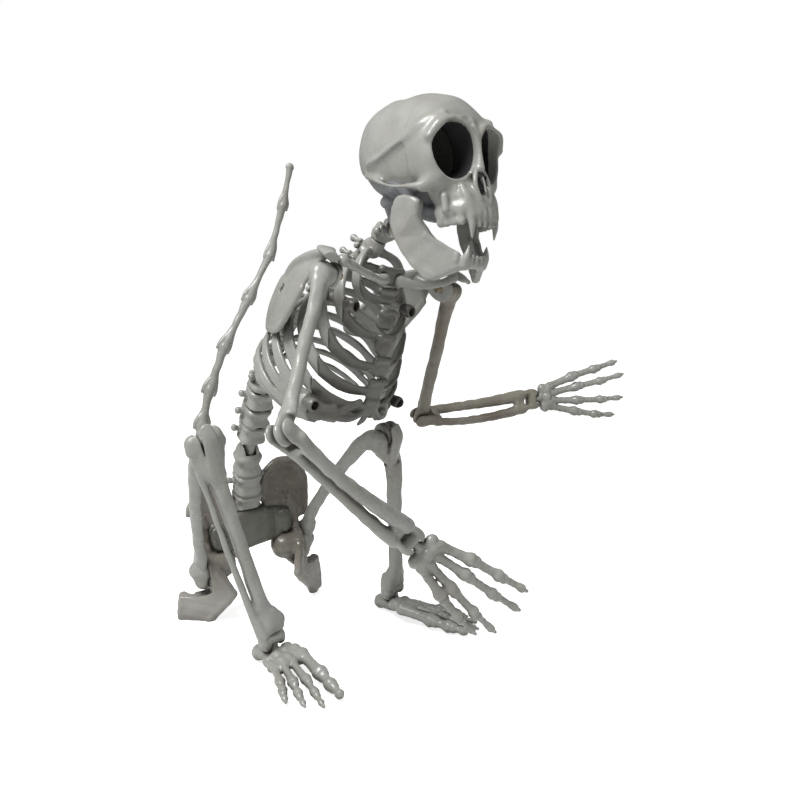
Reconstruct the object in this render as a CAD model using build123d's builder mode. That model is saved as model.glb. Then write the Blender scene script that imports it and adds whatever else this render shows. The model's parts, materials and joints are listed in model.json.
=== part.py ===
from build123d import *
import math
import os

os.makedirs("parts", exist_ok=True)

# Poseable monkey skeleton decoration, all lengths in millimetres.
# Frame: +Z up, the figure faces -Y, its right side is -X, and the floor it sits on is Z = 0.
# It is drawn about the floor point between the hip pins, and stored about the middle of its footprint.

# ---- driving dimensions -------------------------------------------------------------------
running_gap = 0.3          # side clearance between a fork and the tongue that turns in it
pin_clearance = 0.06       # radial clearance of a turning bore on its pin
hip_height = 46.0
hip_back = 14.0            # how far the hip pins lie behind the origin
hip_pin_radius = 2.5
knee_pin_radius = 2.2
ankle_pin_radius = 1.8
shoulder_pin_radius = 2.2
elbow_pin_radius = 1.9
wrist_pin_radius = 1.6
waist_pin_radius = 2.4
neck_pin_radius = 1.9
jaw_pin_radius = 1.6
tail_pin_radius = 1.8
cup_radius = 11.3          # inside of the hip cup
cup_wall = 2.3
cup_floor = 37.5           # distance of the cup floor from the middle plane
cup_rim = 47.0             # distance of the cup rim from the middle plane
femur_offset = 55.0        # distance of the thigh bone's upper end from the middle plane
pelvis_lean = 6.0          # sideways lean of the pelvis about the right hip, in degrees
pad_flare = 40.0           # how far the seat pads are turned outwards from the front, in degrees
pad_half = 4.5             # half thickness of a seat pad
ilium_thickness = 7.0
rib_height = 6.4
rib_wall = 3.2
rib_sides = 12
boss_radius = 4.8
boss_bore = 3.3
knee_tongue = 5.4          # half width of the thigh bone between the shin's fork
knee_fork = 12.4           # half width over the shin's fork
knee_slot_depth = 27.0
ankle_tongue = 4.4
ankle_fork = 10.2
elbow_tongue = 3.8
elbow_fork = 8.4
wrist_tongue = 3.8
wrist_fork = 9.6
waist_tongue = 4.2
waist_fork = 10.6
neck_tongue = 4.0
neck_fork = 8.6
skull_wall = 3.4
jaw_gap = 0.35
pin_sides = 12             # pins are twelve-sided so that they can't turn in their forks

# ---- joint centres in the seated pose -----------------------------------------------------
right_knee = Vector(-88, -102, 188)
left_knee = Vector(61, -115, 177)
right_ankle = Vector(-40, -106, 23)
left_ankle = Vector(98, -67, 23)
right_toe_way = Vector(13, -87, 0).normalized()
left_toe_way = Vector(27, -84, 0).normalized()
right_elbow = Vector(-97, -255, 219)
left_elbow = Vector(140, -52, 174)
right_wrist = Vector(5, -238, 130)
left_wrist = Vector(275, -50, 177)
right_hand_side = Vector(0.645, -0.139, 0.75).normalized()
left_hand_side = Vector(-0.033, 0.234, 0.971).normalized()
waist = Vector(-9, 0, 151)
footprint_middle = Vector(132, -94, 0)

# ---- the pelvis's own frame: x to the figure's left, y back, z up, leaning about the right hip ----
lean = math.radians(pelvis_lean)
across_pelvis = Vector(math.cos(lean), 0, math.sin(lean))
pelvis_up = Vector(-math.sin(lean), 0, math.cos(lean))
pelvis_middle = Vector(-femur_offset, 0, hip_height) + across_pelvis * femur_offset - pelvis_up * hip_height

# ---- the ribcage's own frame: x to its right, y forward, z up ------------------------------
torso_middle = Vector(40.2, -139.7, 309.3)
torso_right = Vector(-0.936, -0.332, 0.118).normalized()
torso_lean = Vector(0.263, -0.437, 0.860)
torso_up = (torso_lean - torso_right * torso_lean.dot(torso_right)).normalized()
torso_front = torso_up.cross(torso_right)
torso_frame = Plane(origin=torso_middle, x_dir=torso_right, z_dir=torso_up)

# ---- the skull's own frame: x to its right, y forward, z up --------------------------------
skull_middle = Vector(51.9, -162.2, 343.1)
skull_right = Vector(-0.973, -0.217, 0.073).normalized()
skull_lean = Vector(0.052, 0.102, 0.993)
skull_up = (skull_lean - skull_right * skull_lean.dot(skull_right)).normalized()
skull_front = skull_up.cross(skull_right)
skull_frame = Plane(origin=skull_middle, x_dir=skull_right, z_dir=skull_up)


def on_pelvis(x, y, z):
    """A point given in the pelvis's frame."""
    return pelvis_middle + across_pelvis * x + Vector(0, y, 0) + pelvis_up * z


def on_torso(x, y, z):
    """A point given in the ribcage's frame."""
    return torso_middle + torso_right * x + torso_front * y + torso_up * z


def on_skull(x, y, z):
    """A point given in the skull's frame."""
    return skull_middle + skull_right * x + skull_front * y + skull_up * z


def ring_points(wide, thick, sides, across=0.0, forward=0.0):
    """Corner points of a flattened regular ring of straight edges."""
    step = math.pi / sides
    points = []
    for corner in range(sides):
        turn = step * (2 * corner + 1)
        points.append((across + wide * math.cos(turn), forward + thick * math.sin(turn)))
    return points


def square_to(along, side):
    """The part of a sideways direction that is square to the bone."""
    return (side - along * side.dot(along)).normalized()


def flat_loft(rings, mode=Mode.ADD):
    """A closed form of flat facets through a row of many-sided rings of points."""
    faces = [Face(Wire.make_polygon(rings[0])), Face(Wire.make_polygon(rings[-1]))]
    for ring, following in zip(rings[:-1], rings[1:]):
        for corner in range(len(ring)):
            near, far = ring[corner - 1], ring[corner]
            next_near, next_far = following[corner - 1], following[corner]
            faces.append(Face(Wire.make_polygon([near, far, next_far])))
            faces.append(Face(Wire.make_polygon([near, next_far, next_near])))
    add(Solid(Shell(faces)), mode=mode)


def placed_ring(plane, corners):
    """A ring's corners, given in a plane, as points in space."""
    return [plane.from_local_coords(Vector(x, y, 0)) for x, y in corners]


def bone(start, end, side, stations, sides=8):
    """Loft along a straight bone; a station is (distance, half width, half thickness, across, forward)."""
    along = (end - start).normalized()
    base = Plane(origin=start, x_dir=square_to(along, side), z_dir=along)
    flat_loft([
        placed_ring(base.offset(distance), ring_points(wide, thick, sides, across, forward))
        for distance, wide, thick, across, forward in stations
    ])


def chain(points, side, sizes, sides=6):
    """Loft along a bent row of points; a size is (half width, half thickness) at each point."""
    rings = []
    for place, point in enumerate(points):
        before = points[max(place - 1, 0)]
        after = points[min(place + 1, len(points) - 1)]
        along = (after - before).normalized()
        plane = Plane(origin=point, x_dir=square_to(along, side), z_dir=along)
        rings.append(placed_ring(plane, ring_points(sizes[place][0], sizes[place][1], sides)))
    flat_loft(rings)


def disc(centre, axis, radius, low, high, mode=Mode.ADD, sides=0):
    """A round or many-sided disc on a joint axis, from low to high along the axis."""
    with BuildSketch(Plane(origin=centre, z_dir=axis).offset(low)) as face:
        if sides:
            RegularPolygon(radius, sides)
        else:
            Circle(radius)
    extrude(face.sketch, amount=high - low, mode=mode)


def slot(centre, axis, along, half_width, behind, beyond, half_height, mode=Mode.SUBTRACT):
    """A square-cornered slot about a joint axis, reaching from behind to beyond along the bone."""
    cheek = Plane(origin=centre, x_dir=square_to(axis, along), z_dir=axis).offset(-half_width)
    with BuildSketch(cheek) as face:
        with Locations(((beyond - behind) / 2, 0)):
            Rectangle(beyond + behind, 2 * half_height)
    extrude(face.sketch, amount=2 * half_width, mode=mode)


def midway(first, second, share=0.5):
    """A point part of the way from one point to another."""
    return first + (second - first) * share


def knuckled(points):
    """The points of a finger with a waist put in the middle of every length."""
    row = [points[0]]
    for first, second in zip(points[:-1], points[1:]):
        row.append(midway(first, second))
        row.append(second)
    return row


across_axis = Vector(1, 0, 0)

# ---- pelvis: sacrum block between two hip bones ---------------------------------------------
hip_axle = on_pelvis(0, hip_back, hip_height)
screw_axle = on_pelvis(0, 17, 75)
tail_root = on_pelvis(-6, 41, 47)
sacrum_top = 90.0
sacrum_front = Plane(origin=on_pelvis(0, 6, 0), x_dir=across_pelvis, z_dir=(0, -1, 0))
with BuildPart() as sacrum_block:
    with BuildSketch(sacrum_front.offset(-22)) as sacrum_outline:
        with BuildLine():
            Polyline(
                (-40, 62), (-40, 83), (-17, 86), (-14, sacrum_top), (14, sacrum_top), (17, 86), (40, 83),
                (40, 62), (26, 60.6), (16, 52), (-16, 52), (-26, 60.6), close=True,
            )
        make_face()
    extrude(amount=22)
    coccyx_floor = Plane(origin=on_pelvis(0, 0, 40.5), x_dir=across_pelvis, z_dir=pelvis_up)
    with BuildSketch(coccyx_floor) as coccyx_outline:
        with Locations((-6, 36)):
            Rectangle(13, 20)
    extrude(amount=18)
    slot(tail_root, across_pelvis, Vector(0, 1, 0), 3.4 + running_gap, 10, 14, 12)
    disc(tail_root, across_pelvis, tail_pin_radius, -9, 9, Mode.SUBTRACT, sides=pin_sides)
    disc(screw_axle, across_pelvis, 1.6, -50, 50, Mode.SUBTRACT, sides=8)
sacrum_block.part.label = "sacrum_block"


def shape_hip_bone(side):
    """Hip bone: broad upper blade, hip cup and a seat pad turned outwards, resting flat on the floor."""
    outward = across_pelvis * side
    with BuildSketch(sacrum_front.offset(-14)) as blade_outline:
        with BuildLine():
            Polyline(*[(side * x, z) for x, z in (
                (40.2, 46), (40.2, 86), (17.5, 90), (15.5, 107), (24, 120), (36, 127), (49, 125.5),
                (58.5, 117), (62.5, 103), (61.5, 84), (55, 62), (49, 46),
            )], close=True)
        make_face()
    extrude(blade_outline.sketch, amount=ilium_thickness)
    with BuildSketch(sacrum_front.offset(-16)) as branch_outline:
        with BuildLine():
            Polyline(*[(side * x, z) for x, z in (
                (40.2, 66), (40.2, 52), (24, 44), (34, 26), (50, 12), (60, 26), (50, 46), (50, 66),
            )], close=True)
        make_face()
    extrude(branch_outline.sketch, amount=13)
    turn = math.radians(pad_flare)
    pad_way = outward * math.cos(turn) + Vector(0, math.sin(turn), 0)
    pad_plane = Plane(origin=on_pelvis(side * 56, 13, 0), x_dir=pad_way, z_dir=pad_way.cross(pelvis_up))
    with BuildSketch(pad_plane) as pad_outline:
        with BuildLine():
            Polyline(
                (18, 25), (22.5, 5), (21, 0), (16, -16), (-3, -16), (-9, 0), (-32, 21), (-32, 27),
                (-22, 46), (-20, 54), (0, 54), (6, 44), close=True,
            )
        make_face()
    extrude(pad_outline.sketch, amount=pad_half, both=True)
    disc(hip_axle, outward, 23, cup_rim + 0.2, 90, Mode.SUBTRACT, sides=12)
    disc(hip_axle, outward, cup_radius + cup_wall, 30, cup_rim, sides=16)
    disc(hip_axle, outward, cup_radius, cup_floor, cup_rim + 1, Mode.SUBTRACT)
    disc(hip_axle, outward, hip_pin_radius, 20, 60, Mode.SUBTRACT, sides=pin_sides)
    disc(screw_axle, outward, 1.6, 30, 70, Mode.SUBTRACT, sides=8)
    disc(screw_axle, outward, 3.2, 50.5, 70, Mode.SUBTRACT, sides=10)
    with Locations((0, 0, -30)):
        Box(400, 400, 60, mode=Mode.SUBTRACT)


with BuildPart() as left_hip_bone:
    shape_hip_bone(1)
left_hip_bone.part.label = "left_hip_bone"

with BuildPart() as right_hip_bone:
    shape_hip_bone(-1)
right_hip_bone.part.label = "right_hip_bone"

with BuildPart() as pelvis_screws:
    for side in (-1, 1):
        disc(screw_axle, across_pelvis * side, 1.5, 28, 51, sides=8)
        disc(screw_axle, across_pelvis * side, 2.9, 50.6, 52.6, sides=10)
pelvis_screws.part.label = "pelvis_screws"

with BuildPart() as hip_pins:
    for side in (-1, 1):
        disc(hip_axle, across_pelvis * side, hip_pin_radius, 31, 59, sides=pin_sides)
hip_pins.part.label = "hip_pins"


# ---- legs ----------------------------------------------------------------------------------
def knee_axis(hip, knee, ankle, outward):
    """The hinge direction square to thigh and shin, pointing to the figure's outer side."""
    axis = (hip - knee).cross(ankle - knee).normalized()
    return axis if axis.dot(outward) > 0 else axis * -1


def shape_femur(side, top, knee, axis):
    """Thigh bone: plug in the hip cup, hub, waisted shaft and a round tongue at the knee."""
    outward = across_pelvis * side
    length = (knee - top).length
    disc(hip_axle, outward, cup_radius - 0.4, cup_floor + 0.4, cup_rim + 3.0, sides=16)
    disc(hip_axle, outward, 9.0, cup_rim + 2, femur_offset + 5.5, sides=12)
    bone(top, knee, axis, [
        (-9.5, 4.4, 5.0, 0, 0), (-5, 6.6, 9.6, 0, 0), (5, 6.8, 10.0, 0, 0), (16, 5.6, 7.4, 0, 0),
        (34, 5.0, 5.6, 0, 0), (length * 0.6, 4.9, 5.4, 0, 0), (length - 24, 5.2, 6.4, 0, 0),
        (length - 9, knee_tongue, 8.6, 0, 0), (length - 3, knee_tongue, 10, 0, 0),
        (length + 4, knee_tongue, 9.4, 0, 0), (length + 9, knee_tongue, 5.0, 0, 0),
    ])
    disc(hip_axle, outward, hip_pin_radius + pin_clearance, 30, 68, Mode.SUBTRACT)
    disc(knee, axis, knee_pin_radius + pin_clearance, -12, 12, Mode.SUBTRACT)


def shape_shin(knee, ankle, axis, ankle_axis, away):
    """Shin: forked head, shin bone, thin calf bone and a forked ankle, one moulding."""
    length = (ankle - knee).length
    along = (ankle - knee).normalized()
    bone(knee, ankle, axis, [
        (-8.5, knee_fork, 5.0, 0, 0), (-3, knee_fork, 8.8, 0, 0), (4, knee_fork, 9.0, 0, 0),
        (16, knee_fork - 0.8, 7.4, 0, away), (30, 9.2, 5.6, 0, away * 2), (44, 5.6, 5.2, -1.5, away),
        (length * 0.55, 4.4, 4.8, -2.5, 0), (length - 26, 4.6, 4.8, -3.5, 0),
        (length - 13, 6.4, 6.4, -3.6, 0),
    ])
    bone(knee, ankle, axis, [
        (22, 3.4, 3.6, 9, away), (34, 2.4, 2.6, 10.5, 0), (length * 0.6, 2.3, 2.5, 10, 0),
        (length * 0.64, 3.6, 3.6, 9.8, 0), (length - 12, 4.2, 4.4, 6.6, 0),
    ])
    bone(knee, ankle, ankle_axis, [
        (length - 17, 8.0, 5.2, 0, 0), (length - 6, ankle_fork, 7.0, 0, 0),
        (length + 2, ankle_fork, 6.4, 0, 0), (length + 6, ankle_fork, 4.0, 0, 0),
    ])
    slot(knee, axis, along, knee_tongue + running_gap, 20, knee_slot_depth, 22)
    slot(ankle, ankle_axis, along, ankle_tongue + running_gap, 9.5, 16, 16)
    disc(knee, axis, knee_pin_radius, -14, 14, Mode.SUBTRACT, sides=pin_sides)
    disc(ankle, ankle_axis, ankle_pin_radius, -14, 14, Mode.SUBTRACT, sides=pin_sides)


def shape_foot(ankle, forward, outward, ankle_axis):
    """Foot: ankle tongue, heel, arch and four toes with flat soles on the floor."""
    def at(ahead, out, height):
        return Vector(ankle.X, ankle.Y, 0) + forward * ahead + outward * out + Vector(0, 0, height)

    disc(ankle, ankle_axis, 7.4, -ankle_tongue, ankle_tongue, sides=12)
    chain(
        [at(-17, 3, 5), at(-11, 2, 6), at(0, 0, 5.6), at(13, 0, 7.6), at(27, 3, 8)], outward,
        [(4.5, 6.0), (6.8, 7.4), (8.0, 7.4), (10.6, 9.2), (13.5, 9)], sides=8,
    )
    chain([ankle, at(0, 0, 6)], ankle_axis, [(ankle_tongue, 6), (ankle_tongue, 8)], sides=4)
    toes = [
        [at(22, -8, 13), at(54, -8, 9), at(70, -6, 6.4), at(86, -3, 3.6)],
        [at(22, -1, 14), at(54, 5, 9), at(71, 10, 6.4), at(86, 14, 3.6)],
        [at(22, 6, 13), at(51, 15, 8.6), at(65, 20, 6.2), at(78, 24, 3.6)],
        [at(22, 12, 11), at(42, 21, 8.2), at(53, 26, 6.0), at(64, 31, 3.6)],
    ]
    for toe in toes:
        chain(knuckled(toe), outward,
              [(4, 5), (3.2, 4.2), (4.6, 5.2), (3.1, 4), (4.2, 4.8), (3, 3.6), (2.6, 3)],
              sides=4)
    with BuildSketch(Plane.XY) as floor_cut:
        with Locations((at(35, 5, 0).X, at(35, 5, 0).Y)):
            Rectangle(200, 200)
    extrude(floor_cut.sketch, amount=-20, mode=Mode.SUBTRACT)
    disc(ankle, ankle_axis, 8.8, ankle_tongue, 16, Mode.SUBTRACT, sides=12)
    disc(ankle, ankle_axis * -1, 8.8, ankle_tongue, 16, Mode.SUBTRACT, sides=12)
    disc(ankle, ankle_axis, ankle_pin_radius + pin_clearance, -12, 12, Mode.SUBTRACT)


right_hip = on_pelvis(-femur_offset, hip_back, hip_height + 4)
left_hip = on_pelvis(femur_offset, hip_back, hip_height + 8)
right_knee_axis = knee_axis(right_hip, right_knee, right_ankle, Vector(-1, 0, 0))
left_knee_axis = knee_axis(left_hip, left_knee, left_ankle, Vector(1, 0, 0))
right_out = Vector(right_toe_way.Y, -right_toe_way.X, 0)
left_out = Vector(-left_toe_way.Y, left_toe_way.X, 0)
right_ankle_axis = square_to((right_ankle - right_knee).normalized(), right_out)
left_ankle_axis = square_to((left_ankle - left_knee).normalized(), left_out)

with BuildPart() as right_femur:
    shape_femur(-1, right_hip, right_knee, right_knee_axis)
right_femur.part.label = "right_femur"

with BuildPart() as left_femur:
    shape_femur(1, left_hip, left_knee, left_knee_axis)
left_femur.part.label = "left_femur"

with BuildPart() as right_shin:
    shape_shin(right_knee, right_ankle, right_knee_axis, right_ankle_axis, -1)
right_shin.part.label = "right_shin"

with BuildPart() as left_shin:
    shape_shin(left_knee, left_ankle, left_knee_axis, left_ankle_axis, 1)
left_shin.part.label = "left_shin"

with BuildPart() as right_foot:
    shape_foot(right_ankle, right_toe_way, right_out, right_ankle_axis)
right_foot.part.label = "right_foot"

with BuildPart() as left_foot:
    shape_foot(left_ankle, left_toe_way, left_out, left_ankle_axis)
left_foot.part.label = "left_foot"

with BuildPart() as right_knee_pin:
    disc(right_knee, right_knee_axis, knee_pin_radius, -knee_fork + 0.6, knee_fork - 0.6, sides=pin_sides)
right_knee_pin.part.label = "right_knee_pin"

with BuildPart() as left_knee_pin:
    disc(left_knee, left_knee_axis, knee_pin_radius, -knee_fork + 0.6, knee_fork - 0.6, sides=pin_sides)
left_knee_pin.part.label = "left_knee_pin"

with BuildPart() as right_ankle_pin:
    disc(right_ankle, right_ankle_axis, ankle_pin_radius, 0.6 - ankle_fork, ankle_fork - 0.6, sides=pin_sides)
right_ankle_pin.part.label = "right_ankle_pin"

with BuildPart() as left_ankle_pin:
    disc(left_ankle, left_ankle_axis, ankle_pin_radius, -ankle_fork + 0.6, ankle_fork - 0.6, sides=pin_sides)
left_ankle_pin.part.label = "left_ankle_pin"

# ---- lumbar spine in two blocks hinged at the waist -----------------------------------------
spine_back = Vector(0, 1, 0)
lumbar_foot = on_pelvis(2, 20.6, sacrum_top - 3)
ribcage_foot = on_torso(0, -53, -137)
ribcage_underside = -141.0
with BuildPart() as lumbar_lower:
    chain(
        [lumbar_foot, midway(lumbar_foot, waist, 0.18), midway(lumbar_foot, waist, 0.36),
         midway(lumbar_foot, waist, 0.54), midway(lumbar_foot, waist, 0.72),
         midway(lumbar_foot, waist, 1.0), midway(lumbar_foot, waist, 1.16)],
        across_axis,
        [(12.6, 12), (12.8, 12.4), (9.4, 10), (12.6, 12), (9.6, 10), (waist_fork, 10), (waist_fork, 5.6)],
        sides=8,
    )
    slot(waist, across_axis, waist - lumbar_foot, waist_tongue + running_gap, 11.5, 20, 20)
    disc(on_pelvis(0, 20, 0), pelvis_up, 40, sacrum_top - 20, sacrum_top, Mode.SUBTRACT, sides=4)
    disc(waist, across_axis, waist_pin_radius, -14, 14, Mode.SUBTRACT, sides=pin_sides)
lumbar_lower.part.label = "lumbar_lower"

upper_start = midway(waist, ribcage_foot, 0.27)
with BuildPart() as lumbar_upper:
    disc(waist, across_axis, 9.6, -waist_tongue, waist_tongue, sides=12)
    chain(
        [midway(waist, ribcage_foot, 0.02), midway(waist, ribcage_foot, 0.3)],
        across_axis, [(5.6, 11), (5.6, 11)], sides=4,
    )
    chain(
        [upper_start, midway(upper_start, ribcage_foot, 0.2), midway(upper_start, ribcage_foot, 0.42),
         midway(upper_start, ribcage_foot, 0.62), midway(upper_start, ribcage_foot, 0.82), ribcage_foot],
        across_axis,
        [(9.4, 10), (12.4, 12), (9.4, 10), (12.4, 12), (9.4, 10), (10, 10)],
        sides=8,
    )
    disc(waist, across_axis, waist_pin_radius + pin_clearance, -14, 14, Mode.SUBTRACT)
    disc(on_torso(0, -53, 0), torso_up, 30, ribcage_underside, ribcage_underside + 20, Mode.SUBTRACT, sides=4)
lumbar_upper.part.label = "lumbar_upper"

with BuildPart() as waist_pin:
    disc(waist, across_axis, waist_pin_radius, -waist_fork + 0.8, waist_fork - 0.8, sides=pin_sides)
waist_pin.part.label = "waist_pin"

# ---- ribcage: ten sloping rib hoops, parted into a back and a front shell --------------------
# Each rib hoop: height of its back end, half width, and whether its front is cut away this far.
rib_hoops = [
    (12, 28, 0), (-3, 39, 0), (-18, 48, 0), (-33, 55, 0), (-48, 60, 0),
    (-63, 63, 0), (-78, 65, 14), (-93, 65, 32), (-107, 62, 46), (-121, 56, 56),
]
hoop_drop = [22, 26, 30, 33, 34, 31, 24, 15, 9, 5]
seam_slope = 0.28
seam_start = 8.0


def depth_between(height, heights, depths):
    """Depth on a row of straight runs from one height to the next."""
    for upper in range(len(heights) - 1):
        if height >= heights[upper + 1]:
            share = (heights[upper] - height) / (heights[upper] - heights[upper + 1])
            return depths[upper] + (depths[upper + 1] - depths[upper]) * share
    return depths[-1]


def spine_depth(height):
    """How far forward the back of the ribs lies at a height in the ribcage's frame."""
    return depth_between(height, [30, 20, -10, -45, -80, -110, -160], [-10, -10, -19, -35, -45, -49, -50])


def sternum_depth(height):
    """How far forward the breastbone lies at a height in the ribcage's frame."""
    return depth_between(height, [20, -6, -20, -43, -65, -90, -115, -160], [8, 14, 23, 37, 46, 53, 53, 42])


def hoop_plane(back_height, drop):
    """The sloping plane of one rib hoop with its half depth."""
    back = on_torso(0, spine_depth(back_height), back_height)
    front = on_torso(0, sternum_depth(back_height - drop), back_height - drop)
    forward = (front - back).normalized()
    plane = Plane(origin=midway(back, front), x_dir=torso_right, z_dir=torso_right.cross(forward))
    return plane, (front - back).length / 2


def hoop(back_height, half_width, drop, opening):
    """One rib hoop as a thin many-sided ring, its front cut away on either side of the middle."""
    plane, half_depth = hoop_plane(back_height, drop)
    with BuildSketch(plane.offset(-rib_height / 2)) as ring:
        with BuildLine():
            Polyline(*ring_points(half_width, half_depth, rib_sides), close=True)
        make_face()
        with BuildLine():
            Polyline(*ring_points(half_width - rib_wall, half_depth - rib_wall, rib_sides), close=True)
        make_face(mode=Mode.SUBTRACT)
        if opening:
            with Locations((0, half_depth)):
                Rectangle(2 * opening, 2 * half_depth - 8, mode=Mode.SUBTRACT)
    extrude(ring.sketch, amount=rib_height)


def seam_half(front):
    """Everything in front of or behind the slanting seam between the two shells."""
    normal = (torso_front + torso_up * seam_slope).normalized()
    origin = on_torso(0, seam_start, 0)
    with BuildSketch(Plane(origin=origin, x_dir=torso_right, z_dir=normal)) as sheet:
        Rectangle(400, 400)
    extrude(sheet.sketch, amount=160 if front else -160, mode=Mode.INTERSECT)


seam_normal = (torso_front + torso_up * seam_slope).normalized()
boss_places = [
    on_torso(34, 14.2, -22), on_torso(-34, 14.2, -22), on_torso(51, 34.6, -95), on_torso(-51, 34.6, -95),
]

with BuildPart() as ribcage_back:
    for (back_height, half_width, opening), drop in zip(rib_hoops, hoop_drop):
        hoop(back_height, half_width, drop, opening)
    for place in boss_places:
        disc(place, seam_normal, boss_radius, -14, 0, sides=8)
    seam_half(False)
    chain(
        [on_torso(0, spine_depth(h) - 4, h)
         for h in (-140, -128, -113, -98, -83, -68, -53, -38, -23, -8, 7, 19)],
        torso_right,
        [(9, 8), (8, 8), (6.4, 7), (8, 8), (6.4, 7), (8, 8),
         (6.4, 7), (8, 8), (6.4, 7), (8, 8), (6.8, 7), (8, 8)],
        sides=6,
    )
    for h in (-121, -91, -61, -31, -1):
        chain([on_torso(0, spine_depth(h) - 8, h), on_torso(0, spine_depth(h) - 19, h - 9)], torso_right,
              [(2.6, 5.5), (1.8, 3.4)], sides=4)
    for place in boss_places:
        disc(place, seam_normal, 1.5, -12, 0, Mode.SUBTRACT, sides=6)
    disc(on_torso(0, -12, 0), torso_up, 2.2 + pin_clearance, 6, 30, Mode.SUBTRACT)
ribcage_back.part.label = "ribcage_back"

with BuildPart() as ribcage_front:
    for (back_height, half_width, opening), drop in zip(rib_hoops, hoop_drop):
        hoop(back_height, half_width, drop, opening)
    for place in boss_places:
        disc(place, seam_normal, boss_radius, 0, 9, sides=8)
    for side in (-1, 1):
        chain(
            [on_torso(side * 2, 53, -88), on_torso(side * 20, 52, -96), on_torso(side * 38, 43, -102),
             on_torso(side * 56, 24, -107)],
            torso_up, [(4, 2.6), (4, 2.6), (4, 2.6), (3.4, 2.4)], sides=4,
        )
    seam_half(True)
    chain(
        [on_torso(0, sternum_depth(h), h) for h in (-3, -12, -26, -43, -62, -80, -96)], torso_right,
        [(11, 2.6), (8, 2.8), (5.6, 2.6), (6.4, 2.8), (6.8, 2.8), (6.4, 2.6), (4.5, 2.4)], sides=6,
    )
    for place in boss_places:
        disc(place, seam_normal, boss_bore, 3, 14, Mode.SUBTRACT, sides=8)
        disc(place, seam_normal, 1.7, -1, 4, Mode.SUBTRACT, sides=6)
ribcage_front.part.label = "ribcage_front"

with BuildPart() as ribcage_screws:
    for place in boss_places:
        disc(place, seam_normal, 1.4, -11, 3.2, sides=6)
        disc(place, seam_normal, 3.0, 3.1, 5.0, sides=8)
ribcage_screws.part.label = "ribcage_screws"

# ---- shoulder girdle ------------------------------------------------------------------------
shoulder_in = 77.0         # sideways place of the upper arm's head, in the ribcage's frame
shoulder_front = 17.5
socket_face = 69.5         # outer face of the shoulder socket


def shape_scapula(side):
    """Shoulder blade: thin blade, ridge, socket boss and the cap over the upper arm."""
    outward = torso_right * side
    blade_normal = outward * 0.88 - torso_front * 0.47
    blade = Plane(origin=on_torso(side * 58, -22, -30), x_dir=torso_up, z_dir=blade_normal)
    turn = 1 if blade.y_dir.dot(torso_front) > 0 else -1
    with BuildSketch(blade) as outline:
        with BuildLine():
            Polyline(
                (46, turn * 30), (30, turn * 11), (15, turn * -8), (8, turn * -6), (-12, turn * -11),
                (-39, turn * -18), (-43, turn * -14), (-29, turn * 18), (-9, turn * 26), (10, turn * 28),
                (28, turn * 26), (40, turn * 26), close=True,
            )
        make_face()
        with Locations(Location((-2, turn * 3), 24 * turn)):
            Rectangle(9, 3.4, mode=Mode.SUBTRACT)
    extrude(outline.sketch, amount=2.6)
    chain([on_torso(side * 60, -22, -10), on_torso(side * 70, 4, 8), on_torso(side * 76, 18, 13),
           on_torso(side * 88, 24, 11)], torso_up, [(3, 4), (3.4, 4.6), (2.4, 8), (2.2, 5.5)], sides=6)
    disc(on_torso(0, shoulder_front, 0), outward, 9.5, 57, socket_face, sides=10)
    chain([on_torso(side * 60, -2, -2), on_torso(side * 63, shoulder_front, 0)], torso_up,
          [(8, 4), (8, 4)], sides=6)
    disc(on_torso(0, shoulder_front, 0), outward, shoulder_pin_radius, 50, 80, Mode.SUBTRACT, sides=pin_sides)


def shape_clavicle(side):
    """Collar bone: bowed rod from the breastbone to the shoulder cap."""
    chain(
        [on_torso(side * 8.5, 16, 1.8), on_torso(side * 24, 24, 4.6), on_torso(side * 42, 26, 8),
         on_torso(side * 56, 22, 12), on_torso(side * 66, 16, 18)],
        torso_up, [(4.6, 4), (3.2, 3.2), (3, 3), (3.2, 3.2), (3.4, 4.4)], sides=6,
    )


with BuildPart() as right_scapula:
    shape_scapula(1)
right_scapula.part.label = "right_scapula"

with BuildPart() as left_scapula:
    shape_scapula(-1)
left_scapula.part.label = "left_scapula"

with BuildPart() as right_clavicle:
    shape_clavicle(1)
right_clavicle.part.label = "right_clavicle"

with BuildPart() as left_clavicle:
    shape_clavicle(-1)
left_clavicle.part.label = "left_clavicle"

with BuildPart() as shoulder_pins:
    disc(on_torso(0, shoulder_front, 0), torso_right, shoulder_pin_radius, 58, 82, sides=pin_sides)
    disc(on_torso(0, shoulder_front, 0), torso_right * -1, shoulder_pin_radius, 58, 82, sides=pin_sides)
shoulder_pins.part.label = "shoulder_pins"


# ---- arms -----------------------------------------------------------------------------------
def elbow_axis(shoulder, elbow, wrist, hand_side):
    """The hinge direction square to upper arm and forearm, on the thumb's side."""
    axis = (shoulder - elbow).cross(wrist - elbow).normalized()
    return axis if axis.dot(hand_side) > 0 else axis * -1


def shape_humerus(side, elbow, axis):
    """Upper arm: round head beside the socket, slim shaft and a tongue at the elbow."""
    outward = torso_right * side
    head = on_torso(side * (shoulder_in + 1), shoulder_front, 0)
    length = (elbow - head).length
    disc(on_torso(0, shoulder_front, 0), outward, 8.2, socket_face + running_gap, 85, sides=10)
    bone(head, elbow, axis, [
        (-2, 5.2, 5.6, 0, 0), (8, 5.8, 6.4, 0, 0), (20, 4.2, 4.6, 0, 0), (length * 0.5, 3.6, 3.9, 0, 0),
        (length - 20, elbow_tongue, 4.6, 0, 0), (length - 7, elbow_tongue, 7.6, 0, 0),
        (length + 2, elbow_tongue, 8.0, 0, 0), (length + 7, elbow_tongue, 4.6, 0, 0),
    ])
    disc(on_torso(0, shoulder_front, 0), outward, shoulder_pin_radius + pin_clearance, 60, 90, Mode.SUBTRACT)
    disc(elbow, axis, elbow_pin_radius + pin_clearance, -10, 10, Mode.SUBTRACT)


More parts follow.
